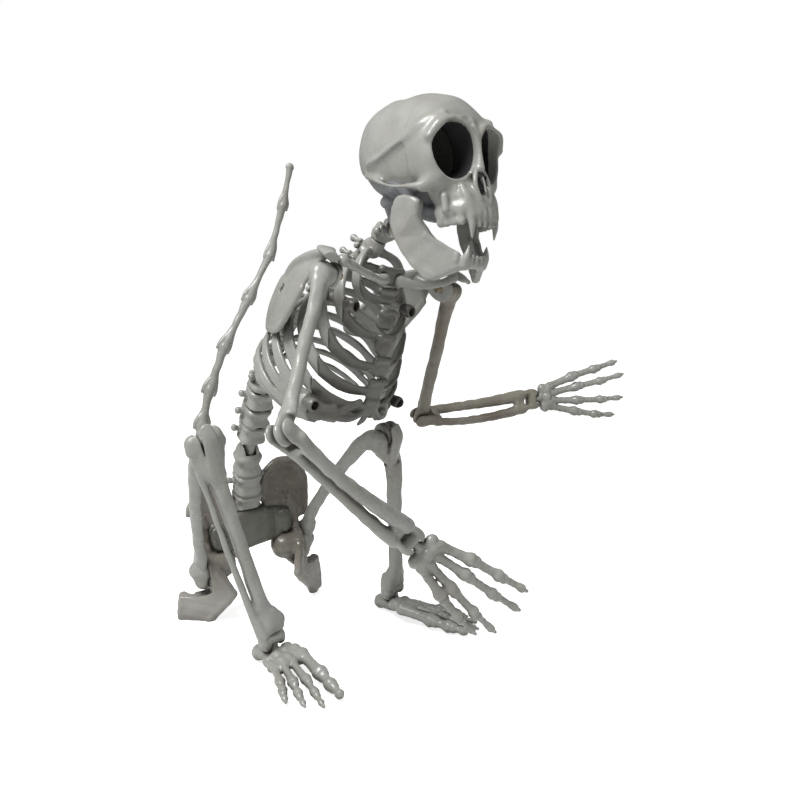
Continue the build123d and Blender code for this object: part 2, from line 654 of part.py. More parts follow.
def shape_forearm(elbow, wrist, axis, hand_side):
    """Forearm: two slim bones crossing slightly, joined behind the elbow and before the wrist."""
    along = (wrist - elbow).normalized()
    low = square_to(along, hand_side) * 7.0
    for side in (-1, 1):
        start = elbow + axis * (6.2 * side)
        end = wrist + low * side
        length = (end - start).length
        wide = 3.9 if side > 0 else 3.3
        bone(start, end, axis, [
            (-7.0, 2.2, 4.2, 0, 0), (-2, 2.2, 7.0, 0, 0), (4, 2.2, 7.2, 0, 0), (16, 2.6, 5.2, 0, 0),
            (30, 2.9, 3.2, 0, 0), (length * 0.6, 2.8, 3.0, 0, 0), (length - 22, wide, 3.8, 0, 0),
        ], sides=6)
        bone(start, end, hand_side, [
            (length - 23, wide, 3.8, 0, 0), (length - 8, 2.7, 5.2, 0, 0), (length + 2, 2.7, 5.6, 0, 0),
            (length + 6.4, 2.6, 3.4, 0, 0),
        ], sides=6)
    length = (wrist - elbow).length
    bone(elbow, wrist, axis, [(13, 6.5, 4.4, 0, 0), (23, 6.5, 3.4, 0, 0)])
    bone(elbow, wrist, hand_side, [(length - 21, 7, 3.4, 0, 0), (length - 12, 7, 4.4, 0, 0)])
    slot(elbow, axis, along, elbow_tongue + running_gap, 16, 12.5, 16)
    slot(wrist, hand_side, along, wrist_tongue + running_gap, 9, 14, 14)
    disc(elbow, axis, elbow_pin_radius, -12, 12, Mode.SUBTRACT, sides=pin_sides)
    disc(wrist, hand_side, wrist_pin_radius, -14, 14, Mode.SUBTRACT, sides=pin_sides)


def shape_hand(wrist, along, hand_side, fingers):
    """Hand: wrist tongue, flat palm and four long fingers with knuckles."""
    palm = hand_side.cross(along).normalized()

    def at(ahead, up, rise):
        return wrist + along * ahead + hand_side * up + palm * rise

    disc(wrist, hand_side, 6.6, -wrist_tongue, wrist_tongue, sides=12)
    chain([at(1, 0, 0), at(8, 0, 0), at(14, 0, 0), at(24, 0, 0)], hand_side,
          [(wrist_tongue, 5.2), (wrist_tongue + 0.4, 5.0), (10.5, 4.8), (12, 4.2)], sides=8)
    for finger in fingers:
        row = knuckled([at(*place) for place in finger])
        chain(row, hand_side,
              [(3.2, 3.4), (2.5, 2.9), (3.8, 4), (2.4, 2.8), (3.4, 3.6), (2.3, 2.5), (1.9, 2.1)],
              sides=5)
    disc(wrist, hand_side, wrist_pin_radius + pin_clearance, -12, 12, Mode.SUBTRACT)


right_shoulder = on_torso(shoulder_in, shoulder_front, 0)
left_shoulder = on_torso(-shoulder_in, shoulder_front, 0)
right_elbow_axis = elbow_axis(right_shoulder, right_elbow, right_wrist, right_hand_side)
left_elbow_axis = elbow_axis(left_shoulder, left_elbow, left_wrist, left_hand_side)
right_reach = (right_wrist - right_elbow).normalized()
left_reach = (left_wrist - left_elbow).normalized()
right_wrist_axis = square_to(right_reach, right_hand_side)
left_wrist_axis = square_to(left_reach, left_hand_side)
hand_bend = 18.0           # how far both hands are bent towards the palm, in degrees
right_hand_way = right_reach.rotate(Axis((0, 0, 0), right_wrist_axis), -hand_bend)
left_hand_way = left_reach.rotate(Axis((0, 0, 0), left_wrist_axis), -hand_bend)
finger_rows = [
    [(17, 9, 0), (48, 17, 1), (75, 21, 3), (99, 25, 7)],
    [(20, 3, 0), (52, 6, 1), (80, 8, 3), (104, 11, 7)],
    [(20, -4, 0), (50, -8, 1), (77, -11, 3), (99, -12, 7)],
    [(17, -9, 0), (44, -19, 1), (66, -25, 3), (85, -28, 7)],
]

with BuildPart() as right_humerus:
    shape_humerus(1, right_elbow, right_elbow_axis)
right_humerus.part.label = "right_humerus"

with BuildPart() as left_humerus:
    shape_humerus(-1, left_elbow, left_elbow_axis)
left_humerus.part.label = "left_humerus"

with BuildPart() as right_forearm:
    shape_forearm(right_elbow, right_wrist, right_elbow_axis, right_wrist_axis)
right_forearm.part.label = "right_forearm"

with BuildPart() as left_forearm:
    shape_forearm(left_elbow, left_wrist, left_elbow_axis, left_wrist_axis)
left_forearm.part.label = "left_forearm"

with BuildPart() as right_hand:
    shape_hand(right_wrist, right_hand_way, right_wrist_axis, finger_rows)
right_hand.part.label = "right_hand"

with BuildPart() as left_hand:
    shape_hand(left_wrist, left_hand_way, left_wrist_axis, finger_rows)
left_hand.part.label = "left_hand"

with BuildPart() as right_elbow_pin:
    disc(right_elbow, right_elbow_axis, elbow_pin_radius, 0.4 - elbow_fork, elbow_fork - 0.4, sides=pin_sides)
right_elbow_pin.part.label = "right_elbow_pin"

with BuildPart() as left_elbow_pin:
    disc(left_elbow, left_elbow_axis, elbow_pin_radius, -elbow_fork + 0.4, elbow_fork - 0.4, sides=pin_sides)
left_elbow_pin.part.label = "left_elbow_pin"

with BuildPart() as right_wrist_pin:
    disc(right_wrist, right_wrist_axis, wrist_pin_radius, 0.6 - wrist_fork, wrist_fork - 0.6, sides=pin_sides)
right_wrist_pin.part.label = "right_wrist_pin"

with BuildPart() as left_wrist_pin:
    disc(left_wrist, left_wrist_axis, wrist_pin_radius, -wrist_fork + 0.6, wrist_fork - 0.6, sides=pin_sides)
left_wrist_pin.part.label = "left_wrist_pin"

# ---- neck ------------------------------------------------------------------------------------
neck_pivot = on_torso(0, -12, 0)
nod = on_skull(0, -5, -2)
neck_top = on_torso(0, -12, 24.5)
with BuildPart() as neck_block:
    disc(neck_pivot, torso_up, 2.2, 8, 24)
    disc(neck_pivot, torso_up, 7.0, 20.3 + running_gap, 27, sides=10)
    chain([on_torso(0, -13, 25), midway(neck_top, nod, 0.3), nod], skull_right,
          [(5, 6), (neck_tongue, 6.6), (neck_tongue, 6.8)], sides=8)
    disc(nod, skull_right, 7.0, -neck_tongue, neck_tongue, sides=12)
    disc(nod, skull_right, 8.2, neck_tongue, 14, Mode.SUBTRACT, sides=12)
    disc(nod, skull_right * -1, 8.2, neck_tongue, 14, Mode.SUBTRACT, sides=12)
    disc(nod, skull_right, neck_pin_radius + pin_clearance, -10, 10, Mode.SUBTRACT)
neck_block.part.label = "neck_block"

with BuildPart() as neck_screw:
    disc(nod, skull_right, neck_pin_radius, -neck_fork + 0.5, neck_fork - 2.4, sides=pin_sides)
    disc(nod, skull_right, 3.4, neck_fork - 2.5, neck_fork - 0.6, sides=12)
neck_screw.part.label = "neck_screw"

# ---- skull: hollow shell, recessed base, jaw -------------------------------------------------
# Skull stations from the back of the head to the teeth: forward, half width, underside, top.
skull_stations = [
    (-46, 6, 46, 63), (-40, 12, 34, 76), (-28, 20, 20, 85), (-10, 29, 12, 91), (14, 34.5, 8, 92),
    (34, 36, 4, 90), (50, 40, 2, 83), (58, 41, 2, 75), (64, 34, 0, 70), (68, 22, -4, 60),
    (73, 16, -9, 34), (77, 12, -9, 11),
]


def skull_ring(forward, half_width, low, high, inset, corners):
    """The corners of one upright many-sided section of the skull."""
    plane = Plane(origin=on_skull(0, forward, 0), x_dir=skull_right, z_dir=skull_front)
    lift = 1 if plane.y_dir.dot(skull_up) > 0 else -1
    middle = (low + high) / 2
    tall = (high - low) / 2 - inset
    wide = half_width - inset
    return placed_ring(plane, [(x, lift * (middle + z)) for x, z in ring_points(wide, tall, corners)])


def skull_body(inset, stations, mode=Mode.ADD):
    """The skull's outer form, or its hollow when inset."""
    flat_loft([skull_ring(y, w, low, high, inset, 12) for y, w, low, high in stations], mode)


def below_rim(mode):
    """Everything under the slanting lower rim of the skull shell, behind the cheeks."""
    rim = [(-80, 56), (-60, 50), (-42, 43), (0, 27), (47, 17), (47, -60), (-80, -60)]
    plane = Plane(origin=on_skull(-60, 0, 0), x_dir=skull_front, z_dir=skull_right)
    with BuildSketch(plane) as outline:
        with BuildLine():
            Polyline(*rim, close=True)
        make_face()
    extrude(outline.sketch, amount=120, mode=mode)


with BuildPart() as cranium:
    skull_body(0, skull_stations)
    below_rim(Mode.SUBTRACT)
    skull_body(skull_wall, skull_stations[1:7], Mode.SUBTRACT)
    for side in (-1, 1):
        eye = on_skull(side * 21, 46, 43)
        gaze = (skull_front + skull_right * (side * 0.25)).normalized()
        eye_floor = placed_ring(Plane(origin=eye, x_dir=skull_up, z_dir=gaze), ring_points(11, 11, 10))
        eye_mouth = placed_ring(
            Plane(origin=eye + gaze * 26, x_dir=skull_up, z_dir=gaze), ring_points(18.5, 18.5, 10),
        )
        flat_loft([eye_floor, eye_mouth], Mode.SUBTRACT)
        chain([on_skull(side * 36, 56, 24), on_skull(side * 38, 44, 16), on_skull(side * 37, 30, 17)],
              skull_up, [(4.5, 3.4), (3.6, 2.8), (3.2, 2.6)], sides=6)
        for tooth, drop, size in ((13, 9, 2.8), (8, 4.5, 2.4), (3, 4.5, 2.4)):
            chain([on_skull(side * tooth, 72.5, 1), on_skull(side * tooth, 74, -9 - drop)],
                  skull_right, [(size, size), (size * 0.35, size * 0.35)], sides=4)
    nose_plane = Plane(origin=on_skull(0, 62, 0), x_dir=skull_right, z_dir=skull_front)
    lift = 1 if nose_plane.y_dir.dot(skull_up) > 0 else -1
    with BuildSketch(nose_plane) as nose:
        with BuildLine():
            Polyline((-5.5, lift * 14), (0, lift * 28), (5.5, lift * 14), (0, lift * 11), close=True)
        make_face()
    extrude(nose.sketch, amount=24, mode=Mode.SUBTRACT)
cranium.part.label = "cranium"

jaw_hinge = on_skull(0, 28, 9)
with BuildPart() as skull_base:
    skull_body(skull_wall + 0.3, skull_stations[1:7])
    with BuildSketch(Plane(origin=on_skull(-60, 0, 0), x_dir=skull_front, z_dir=skull_right)) as base_band:
        with BuildLine():
            Polyline((-46, 50), (0, 33), (47, 22), (47, 8), (10, 8), (-24, 10), (-46, 30), close=True)
        make_face()
    extrude(base_band.sketch, amount=120, mode=Mode.INTERSECT)
    disc(nod, skull_right, 7.2, -neck_fork, neck_fork, sides=12)
    chain([nod, on_skull(0, -5, 22)], skull_right, [(neck_fork * 1.35, 7.4), (neck_fork * 1.35, 9)], sides=4)
    for side in (-1, 1):
        chain([on_skull(side * 19, 26, 30), on_skull(side * 21, 26, 17), on_skull(side * 27, 27, 5)],
              skull_right,
              [(3.4, 9), (3.6, 8), (3.2, 6)], sides=6)
    slot(nod, skull_right, skull_up * -1, neck_tongue + running_gap, 8.2, 30, 16)
    disc(nod, skull_right, neck_pin_radius, -14, 14, Mode.SUBTRACT, sides=pin_sides)
    disc(nod, skull_right, 3.6, neck_fork - 2.5, 16, Mode.SUBTRACT, sides=12)
    disc(jaw_hinge, skull_right, jaw_pin_radius, -40, 40, Mode.SUBTRACT, sides=pin_sides)
skull_base.part.label = "skull_base"

# ---- jaw -------------------------------------------------------------------------------------
jaw_hinge_half = 33.6
jaw_profile = [
    (21, 12), (29, 15), (42, 12), (51.5, 6), (52, -8), (55, -17), (61, -27), (68, -31), (70, -37),
    (68, -44), (59, -49), (45, -47), (34, -33), (25, -18), (20, -3),
]
side_view = Plane(origin=on_skull(-40, 0, 0), x_dir=skull_front, z_dir=skull_right)
jaw_top = Plane(origin=on_skull(0, 0, -60), x_dir=skull_right, z_dir=skull_up)
with BuildPart() as jaw:
    with BuildSketch(side_view) as jaw_side:
        with BuildLine():
            Polyline(*jaw_profile, close=True)
        make_face()
    extrude(jaw_side.sketch, amount=80)
    with BuildSketch(jaw_top) as jaw_plan:
        with BuildLine():
            Polyline((-36, 10), (36, 10), (35, 44), (24, 60), (10, 70),
                     (-10, 70), (-24, 60), (-35, 44), close=True)
        make_face()
        with BuildLine():
            Polyline((-30.7, 5), (30.7, 5), (29.5, 41), (19, 55), (8, 62),
                     (-8, 62), (-19, 55), (-29.5, 41), close=True)
        make_face(mode=Mode.SUBTRACT)
    extrude(jaw_plan.sketch, amount=90, mode=Mode.INTERSECT)
    for side in (-1, 1):
        chain([on_skull(side * 9.5, 64, -34), on_skull(side * 9, 66, -22)], skull_right,
              [(2.8, 2.8), (0.9, 0.9)], sides=4)
        for tooth in (2.6, 6):
            chain([on_skull(side * tooth, 66, -35), on_skull(side * tooth, 68, -27)], skull_right,
                  [(2.1, 1.8), (1.4, 0.8)], sides=4)
    disc(jaw_hinge, skull_right, jaw_pin_radius + pin_clearance, -40, 40, Mode.SUBTRACT)
jaw.part.label = "jaw"

with BuildPart() as jaw_pins:
    disc(jaw_hinge, skull_right, jaw_pin_radius, 25, jaw_hinge_half, sides=pin_sides)
    disc(jaw_hinge, skull_right * -1, jaw_pin_radius, 25, jaw_hinge_half, sides=pin_sides)
jaw_pins.part.label = "jaw_pins"

# ---- tail ------------------------------------------------------------------------------------
tail_path = [
    Vector(-9, 53, 48), Vector(-24, 62, 46), Vector(-35, 68, 62), Vector(-33, 70, 84), Vector(-31, 70, 104),
    Vector(-28, 70, 125), Vector(-26, 70, 145), Vector(-23, 70, 166), Vector(-19, 70, 182), Vector(-14, 70, 198),
    Vector(-6, 70, 218), Vector(2, 70, 237), Vector(15, 70, 259), Vector(28, 70, 281), Vector(40, 70, 301),
    Vector(51, 70, 321), Vector(59, 70, 344), Vector(66, 70, 367), Vector(71, 70, 387), Vector(75, 70, 405),
]
with BuildPart() as tail:
    disc(tail_root, across_pelvis, 6.2, -3.4, 3.4, sides=10)
    chain([on_pelvis(-6, 42, 46), on_pelvis(-6, 51, 44.3), Vector(-9, 57, 48)], across_pelvis,
          [(3.4, 5), (3.4, 5), (4.2, 4.6)], sides=6)
    chain(
        tail_path, across_axis,
        [(3.8, 3.8), (6.4, 6.4), (4, 4), (6.6, 6.6), (3.8, 3.8), (6.4, 6.4), (3.6, 3.6), (6.2, 6.2), (3.6, 3.6),
         (6, 6), (3.4, 3.4), (5.8, 5.8), (3.2, 3.2), (5.4, 5.4), (3, 3), (5, 5), (2.8, 2.8), (4.4, 4.4),
         (2.8, 2.8), (2.2, 2.2)], sides=6,
    )
    disc(tail_root, across_pelvis, tail_pin_radius + pin_clearance, -8, 8, Mode.SUBTRACT)
tail.part.label = "tail"

with BuildPart() as tail_pin:
    disc(tail_root, across_pelvis, tail_pin_radius, -6.0, 6.0, sides=pin_sides)
tail_pin.part.label = "tail_pin"

# ---- one STEP file for every piece -----------------------------------------------------------
pieces = [
    sacrum_block, left_hip_bone, right_hip_bone, pelvis_screws, hip_pins,
    right_femur, left_femur, right_shin, left_shin, right_foot, left_foot,
    right_knee_pin, left_knee_pin, right_ankle_pin, left_ankle_pin,
    lumbar_lower, lumbar_upper, waist_pin,
    ribcage_back, ribcage_front, ribcage_screws,
    right_scapula, left_scapula, right_clavicle, left_clavicle, shoulder_pins,
    right_humerus, left_humerus, right_forearm, left_forearm, right_hand, left_hand,
    right_elbow_pin, left_elbow_pin, right_wrist_pin, left_wrist_pin,
    neck_block, neck_screw, cranium, skull_base, jaw, jaw_pins, tail, tail_pin,
]
for piece in pieces:
    stored = piece.part.moved(Location(footprint_middle * -1))
    stored.label = piece.part.label
    export_step(stored, f"parts/{stored.label}.step")
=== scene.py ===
"""Looks of a poseable monkey skeleton decoration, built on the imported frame.

Forms are modelled in millimetres as signed-distance clay in each bone's own frame, then meshed in metres.
"""
import json
import math
import bpy
import numpy as np
import openvdb
from mathutils import Matrix, Vector


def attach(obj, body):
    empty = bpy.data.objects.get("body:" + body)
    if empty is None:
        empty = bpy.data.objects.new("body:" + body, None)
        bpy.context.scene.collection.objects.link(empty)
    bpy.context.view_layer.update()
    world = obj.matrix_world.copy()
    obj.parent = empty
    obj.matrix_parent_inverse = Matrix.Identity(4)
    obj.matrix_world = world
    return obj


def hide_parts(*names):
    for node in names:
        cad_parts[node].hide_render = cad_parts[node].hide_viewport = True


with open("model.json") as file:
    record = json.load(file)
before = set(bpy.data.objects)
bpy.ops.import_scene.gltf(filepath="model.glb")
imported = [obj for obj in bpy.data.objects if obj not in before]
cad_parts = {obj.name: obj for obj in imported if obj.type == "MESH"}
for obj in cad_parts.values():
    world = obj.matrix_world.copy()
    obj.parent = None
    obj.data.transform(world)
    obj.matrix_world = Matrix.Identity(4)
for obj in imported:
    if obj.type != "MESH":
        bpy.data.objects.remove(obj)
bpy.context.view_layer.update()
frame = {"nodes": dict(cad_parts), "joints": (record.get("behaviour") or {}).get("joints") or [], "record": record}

FINE = 0.45        # voxel of hands and feet, in millimetres
MEDIUM = 0.6       # voxel of long bones
COARSE = 0.75      # voxel of the skull and the ribcage
FAR = 9.0          # distance that stands for empty clay


# ---- places taken from the frame -------------------------------------------------------------
SIDES = (-1, 1)
SHOULDER_Y = 17.5  # how far in front of the torso's own axis the shoulders lie


def unit(v):
    return np.asarray(v, float) / np.linalg.norm(v)


def mirror(side, points):
    """The points, or with side -1 their mirror images in the middle plane."""
    return [(side * x, y, z) for x, y, z in points]


hinge = {j["name"]: (np.array(j["pos_m"]) * 1000, unit(j["axis"])) for j in frame["joints"]}


class Place:
    """A right-handed frame: x, y and z directions as rows, about an origin."""

    def __init__(self, origin, x, z):
        self.origin = np.asarray(origin, float)
        z = unit(z)
        x = unit(np.asarray(x, float) - z * np.dot(x, z))
        self.rows = np.array([x, np.cross(z, x), z])

    def to_row(self, points):
        return np.asarray(points, float) @ self.rows + self.origin

    def to_local(self, points):
        return (np.asarray(points, float) - self.origin) @ self.rows.T


def torso_place():
    """x to the figure's right, y forward, z up the ribcage, from the level of the shoulders."""
    right = hinge["right_shoulder_swing"][1]
    up = hinge["head_turn"][1]
    middle = (hinge["right_shoulder_swing"][0] + hinge["left_shoulder_swing"][0]) / 2
    return Place(middle - np.cross(up, right) * SHOULDER_Y, right, up)


def skull_place():
    """x to the figure's right, y forward, z up; nod pin at (0, -5, -2), jaw pin at (0, 28, 9)."""
    nod, right = hinge["head_nod"]
    reach = hinge["jaw_open"][0] - nod
    front = unit(33 * reach - 11 * np.cross(right, reach))
    up = np.cross(right, front)
    return Place(nod + front * 5 + up * 2, right, up)


TORSO = torso_place()
SKULL = skull_place()


# ---- clay ------------------------------------------------------------------------------------
def smooth_row(points, steps=6):
    """A Catmull-Rom curve through a row of points of any width."""
    rows = np.asarray(points, float)
    padded = np.vstack([2 * rows[0] - rows[1], rows, 2 * rows[-1] - rows[-2]])
    out = []
    for i in range(1, len(padded) - 2):
        p0, p1, p2, p3 = padded[i - 1:i + 3]
        for t in np.arange(steps) / steps:
            out.append(0.5 * (2 * p1 + (p2 - p0) * t + (2 * p0 - 5 * p1 + 4 * p2 - p3) * t ** 2
                              + (3 * p1 - p0 - 3 * p2 + p3) * t ** 3))
    out.append(rows[-1])
    return np.array(out)


class Clay:
    """A block of signed-distance voxels in a frame; forms are blended into it or carved from it."""

    def __init__(self, place, low, high, step):
        self.place, self.step = place, step
        self.low = np.asarray(low, float)
        count = np.ceil((np.asarray(high, float) - self.low) / step).astype(int) + 1
        self.field = np.full(count, FAR, np.float32)
        self.axes = [self.low[i] + step * np.arange(count[i]) for i in range(3)]

    def window(self, low, high):
        cut = []
        for axis, a, b in zip(self.axes, low, high):
            cut.append(slice(*np.searchsorted(axis, (a, b))))
        x, y, z = (axis[c].astype(np.float32) for axis, c in zip(self.axes, cut))
        return tuple(cut), x[:, None, None], y[None, :, None], z[None, None, :]

    def mix(self, cut, distance, blend, carve):
        old = self.field[cut]
        if old.size == 0:
            return
        if carve:
            old = -old
        if blend > 0:
            h = np.maximum(blend - np.abs(old - distance), 0) / blend
            new = np.minimum(old, distance) - h * h * blend / 4
        else:
            new = np.minimum(old, distance)
        self.field[cut] = -new if carve else new

    def ball(self, centre, radii, blend=2.0, carve=False, turn=None):
        """An ellipsoid; turn is a list of (axis index, degrees) applied in order."""
        radii = np.ones(3) * radii
        reach = radii.max() + blend + 3
        centre = np.asarray(centre, float)
        cut, x, y, z = self.window(centre - reach, centre + reach)
        p = [x - centre[0], y - centre[1], z - centre[2]]
        for axis, angle in turn or []:
            c, s = math.cos(math.radians(angle)), math.sin(math.radians(angle))
            a, b = (axis + 1) % 3, (axis + 2) % 3
            p[a], p[b] = c * p[a] + s * p[b], c * p[b] - s * p[a]
        k0 = np.sqrt(sum((q / r) ** 2 for q, r in zip(p, radii))) + 1e-6
        k1 = np.sqrt(sum((q / r ** 2) ** 2 for q, r in zip(p, radii))) + 1e-6
        self.mix(cut, (k0 * (k0 - 1) / k1).astype(np.float32), blend, carve)

    def rod(self, points, radii, blend=1.5, carve=False, flat=None, curve=0):
        """A round rod through points; flat = (direction, ratio) presses it thinner along a direction."""
        rows = np.column_stack([np.asarray(points, float), np.ones(len(points)) * radii])
        if curve:
            rows = smooth_row(rows, curve)
        ratio, n = 1.0, np.zeros(3)
        if flat is not None:
            n, ratio = unit(flat[0]), flat[1]
        reach = rows[:, 3].max() + blend + 3
        cut = self.window(rows[:, :3].min(0) - reach, rows[:, :3].max(0) + reach)[0]
        if self.field[cut].size == 0:
            return
        whole = np.full(self.field[cut].shape, FAR, np.float32)
        lows = [c.start for c in cut]
        for a, b in zip(rows[:-1], rows[1:]):
            near = max(a[3], b[3]) + blend + 3
            part, x, y, z = self.window(np.minimum(a, b)[:3] - near, np.maximum(a, b)[:3] + near)
            inner = tuple(slice(p.start - l, p.stop - l) for p, l in zip(part, lows))
            d = b[:3] - a[:3]
            p = [x - a[0], y - a[1], z - a[2]]
            if ratio != 1.0:
                off = (p[0] * n[0] + p[1] * n[1] + p[2] * n[2]) * (ratio - 1)
                p = [q + off * m for q, m in zip(p, n)]
                d = d + n * np.dot(d, n) * (ratio - 1)
            size = max(float(d @ d), 1e-6)
            t = np.clip((p[0] * d[0] + p[1] * d[1] + p[2] * d[2]) / size, 0, 1)
            gap = np.sqrt((p[0] - t * d[0]) ** 2 + (p[1] - t * d[1]) ** 2 + (p[2] - t * d[2]) ** 2)
            gap = (gap - (a[3] + t * (b[3] - a[3]))) / max(1.0, ratio ** 0.5)
            whole[inner] = np.minimum(whole[inner], gap.astype(np.float32))
        self.mix(cut, whole, blend, carve)

    def tunnel(self, along, stations, blend=2.0, carve=False, power=2.0, steps=8):
        """A tube along one axis; stations are (distance, centre a, centre b, half a, half b)."""
        rows = smooth_row(stations, steps) if steps > 1 else np.asarray(stations, float)
        rows = rows[np.argsort(rows[:, 0])]
        a, b = (along + 1) % 3, (along + 2) % 3
        margin = blend + 3
        low, high = np.zeros(3), np.zeros(3)
        low[along], high[along] = rows[0, 0] - margin, rows[-1, 0] + margin
        for axis, column in ((a, 1), (b, 2)):
            low[axis] = (rows[:, column] - rows[:, column + 2]).min() - margin
            high[axis] = (rows[:, column] + rows[:, column + 2]).max() + margin
        cut, *p = self.window(low, high)
        s = p[along]
        ca, cb, ra, rb = (np.interp(s, rows[:, 0], rows[:, i]).astype(np.float32) for i in (1, 2, 3, 4))
        ra, rb = np.maximum(ra, 0.05), np.maximum(rb, 0.05)
        ring = (np.abs((p[a] - ca) / ra) ** power + np.abs((p[b] - cb) / rb) ** power) ** (1 / power)
        side = (ring - 1) * np.minimum(ra, rb)
        end = np.maximum(rows[0, 0] - s, s - rows[-1, 0])
        self.mix(cut, np.maximum(side, end).astype(np.float32), blend, carve)

    def plate(self, across, outline, middle, half, blend=1.5, carve=False, soft=1.0, curve=0, turned=None):
        """An outline square to an axis of this block or of a turned place, with middle and half thickness."""
        shape = np.asarray(outline, float)
        if curve:
            closed = np.vstack([shape[-1], shape, shape[0], shape[1]])
            shape = smooth_row(closed, curve)[curve:-curve - 1]
        a, b = (across + 1) % 3, (across + 2) % 3
        low, high = np.zeros(3), np.zeros(3)
        low[a], low[b] = shape.min(0) - blend - 3
        high[a], high[b] = shape.max(0) + blend + 3
        low[across], high[across] = -1e6, 1e6
        cut, *p = self.window(low, high)
        if turned is not None:
            cut, q = (slice(None),) * 3, self.xyz()
            p = [sum(row[k] * (q[k] - turned.origin[k]) for k in range(3)) for row in turned.rows]
        u, v = np.broadcast_arrays(p[a], p[b])
        best, inside = np.full(u.shape, 1e9, np.float32), np.zeros(u.shape, bool)
        for (x0, y0), (x1, y1) in zip(shape, np.roll(shape, -1, 0)):
            dx, dy = x1 - x0, y1 - y0
            t = np.clip(((u - x0) * dx + (v - y0) * dy) / max(dx * dx + dy * dy, 1e-9), 0, 1)
            best = np.minimum(best, (u - x0 - t * dx) ** 2 + (v - y0 - t * dy) ** 2)
            if y0 != y1:
                inside ^= ((y0 > v) != (y1 > v)) & (u < dx * (v - y0) / dy + x0)
        flat = np.sqrt(best) * np.where(inside, -1, 1)
        centre = middle(u, v) if callable(middle) else middle
        thick = half(u, v) if callable(half) else half
        side = flat + soft
        face = np.abs(p[across] - centre) - thick + soft
        out = np.sqrt(np.maximum(side, 0) ** 2 + np.maximum(face, 0) ** 2)
        self.mix(cut, (out + np.minimum(np.maximum(side, face), 0) - soft).astype(np.float32), blend, carve)

    def keep(self, distance, blend=0.0):
        """Cuts away everything outside a half space or other field over the whole block."""
        cut = np.broadcast_to(-distance, self.field.shape).astype(np.float32)
        self.mix((slice(None),) * 3, cut, blend, carve=True)

    def xyz(self):
        return self.axes[0][:, None, None], self.axes[1][None, :, None], self.axes[2][None, None, :]

    def along(self, way, start=(0, 0, 0)):
        """How far every voxel lies along a direction from a start."""
        return sum((p - s) * w for p, s, w in zip(self.xyz(), start, way))

    def about(self, hub, axis):
        """How far every voxel lies along an axis through a hub, and how far from that axis."""
        across = self.along(axis, hub)
        far = sum((p - h) ** 2 for p, h in zip(self.xyz(), hub))
        return across, np.sqrt(np.maximum(far - across ** 2, 0))

    def keep_tongue(self, hub, axis, radius, half, blend=0.4):
        """Leaves only a tongue of some half thickness within a radius of a hinge."""
        across, radial = self.about(hub, axis)
        self.keep(np.where(radial < radius, np.abs(across) - half, -FAR), blend)

    def tongue_room(self, hub, axis, half, reach, way, edge):
        """Cuts a disc-shaped slot round a hub, left open past an edge along a direction."""
        across, radial = self.about(hub, axis)
        slot = np.minimum(radial - reach, edge - self.along(way, hub))
        self.keep(-np.maximum(slot, np.abs(across) - half), 0.4)

    def roughen(self, size, depth, seed):
        """Slow unevenness of a hand-made mould: a sum of waves in fixed pseudo-random directions."""
        rng = np.random.default_rng(seed)
        x, y, z = self.xyz()
        near = np.abs(self.field) < 2.5
        total = np.zeros(self.field.shape, np.float32)
        for _ in range(5):
            k = unit(rng.normal(size=3)) * 2 * math.pi / (size * rng.uniform(0.6, 1.5))
            total += np.sin(k[0] * x + k[1] * y + k[2] * z + rng.uniform(0, 6.28)).astype(np.float32)
        self.field += np.where(near, total * depth / 3, 0).astype(np.float32)

    def mesh(self, name, body, nodes, material, second=None):
        """Meshes the clay and hangs it on its body; second = (material, test of local face middles)."""
        grid = openvdb.FloatGrid(FAR)
        grid.copyFromArray(np.clip(self.field, -FAR, FAR))
        points, _, quads = grid.convertToPolygons(isovalue=0.0, adaptivity=0.0)
        points = self.place.to_row(points * self.step + self.low) / 1000
        faces = len(quads)
        data = bpy.data.meshes.new(name)
        data.vertices.add(len(points))
        data.vertices.foreach_set("co", points.astype(np.float32).ravel())
        data.loops.add(4 * faces)
        data.loops.foreach_set("vertex_index", quads.astype(np.int32).ravel())
        data.polygons.add(faces)
        data.polygons.foreach_set("loop_start", np.arange(0, 4 * faces, 4, dtype=np.int32))
        data.update(calc_edges=True)
        data.polygons.foreach_set("use_smooth", np.ones(faces, bool))
        data.materials.append(material)
        if second is not None:
            data.materials.append(second[0])
            middles = self.place.to_local(points[quads].mean(1) * 1000)
            data.polygons.foreach_set("material_index", second[1](middles).astype(np.int32))
        data.validate()
        obj = bpy.data.objects.new(name, data)
        bpy.context.scene.collection.objects.link(obj)
        relax = obj.modifiers.new("relax", "SMOOTH")
        relax.factor, relax.iterations = 0.5, 2
        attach(obj, body)
        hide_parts(*nodes)


# ---- materials -------------------------------------------------------------------------------
class Nodes:
    """The node tree of a material or a world, with a short way to add and join nodes."""

    def __init__(self, owner):
        owner.use_nodes = True
        self.tree = owner.node_tree

    def fill(self, node, values):
        """Sets inputs of a node: a socket is linked, anything else becomes the input's own value."""
        for key, value in values.items():
            if isinstance(value, bpy.types.NodeSocket):
                self.tree.links.new(value, node.inputs[key])
            else:
                node.inputs[key].default_value = value
        return node

    def add(self, kind, values, **settings):
        node = self.tree.nodes.new("ShaderNode" + kind)
        for name, value in settings.items():
            setattr(node, name, value)
        return self.fill(node, values)


def colour(rgb, share=1.0):
    return (*(min(c * share, 1) for c in rgb), 1.0)


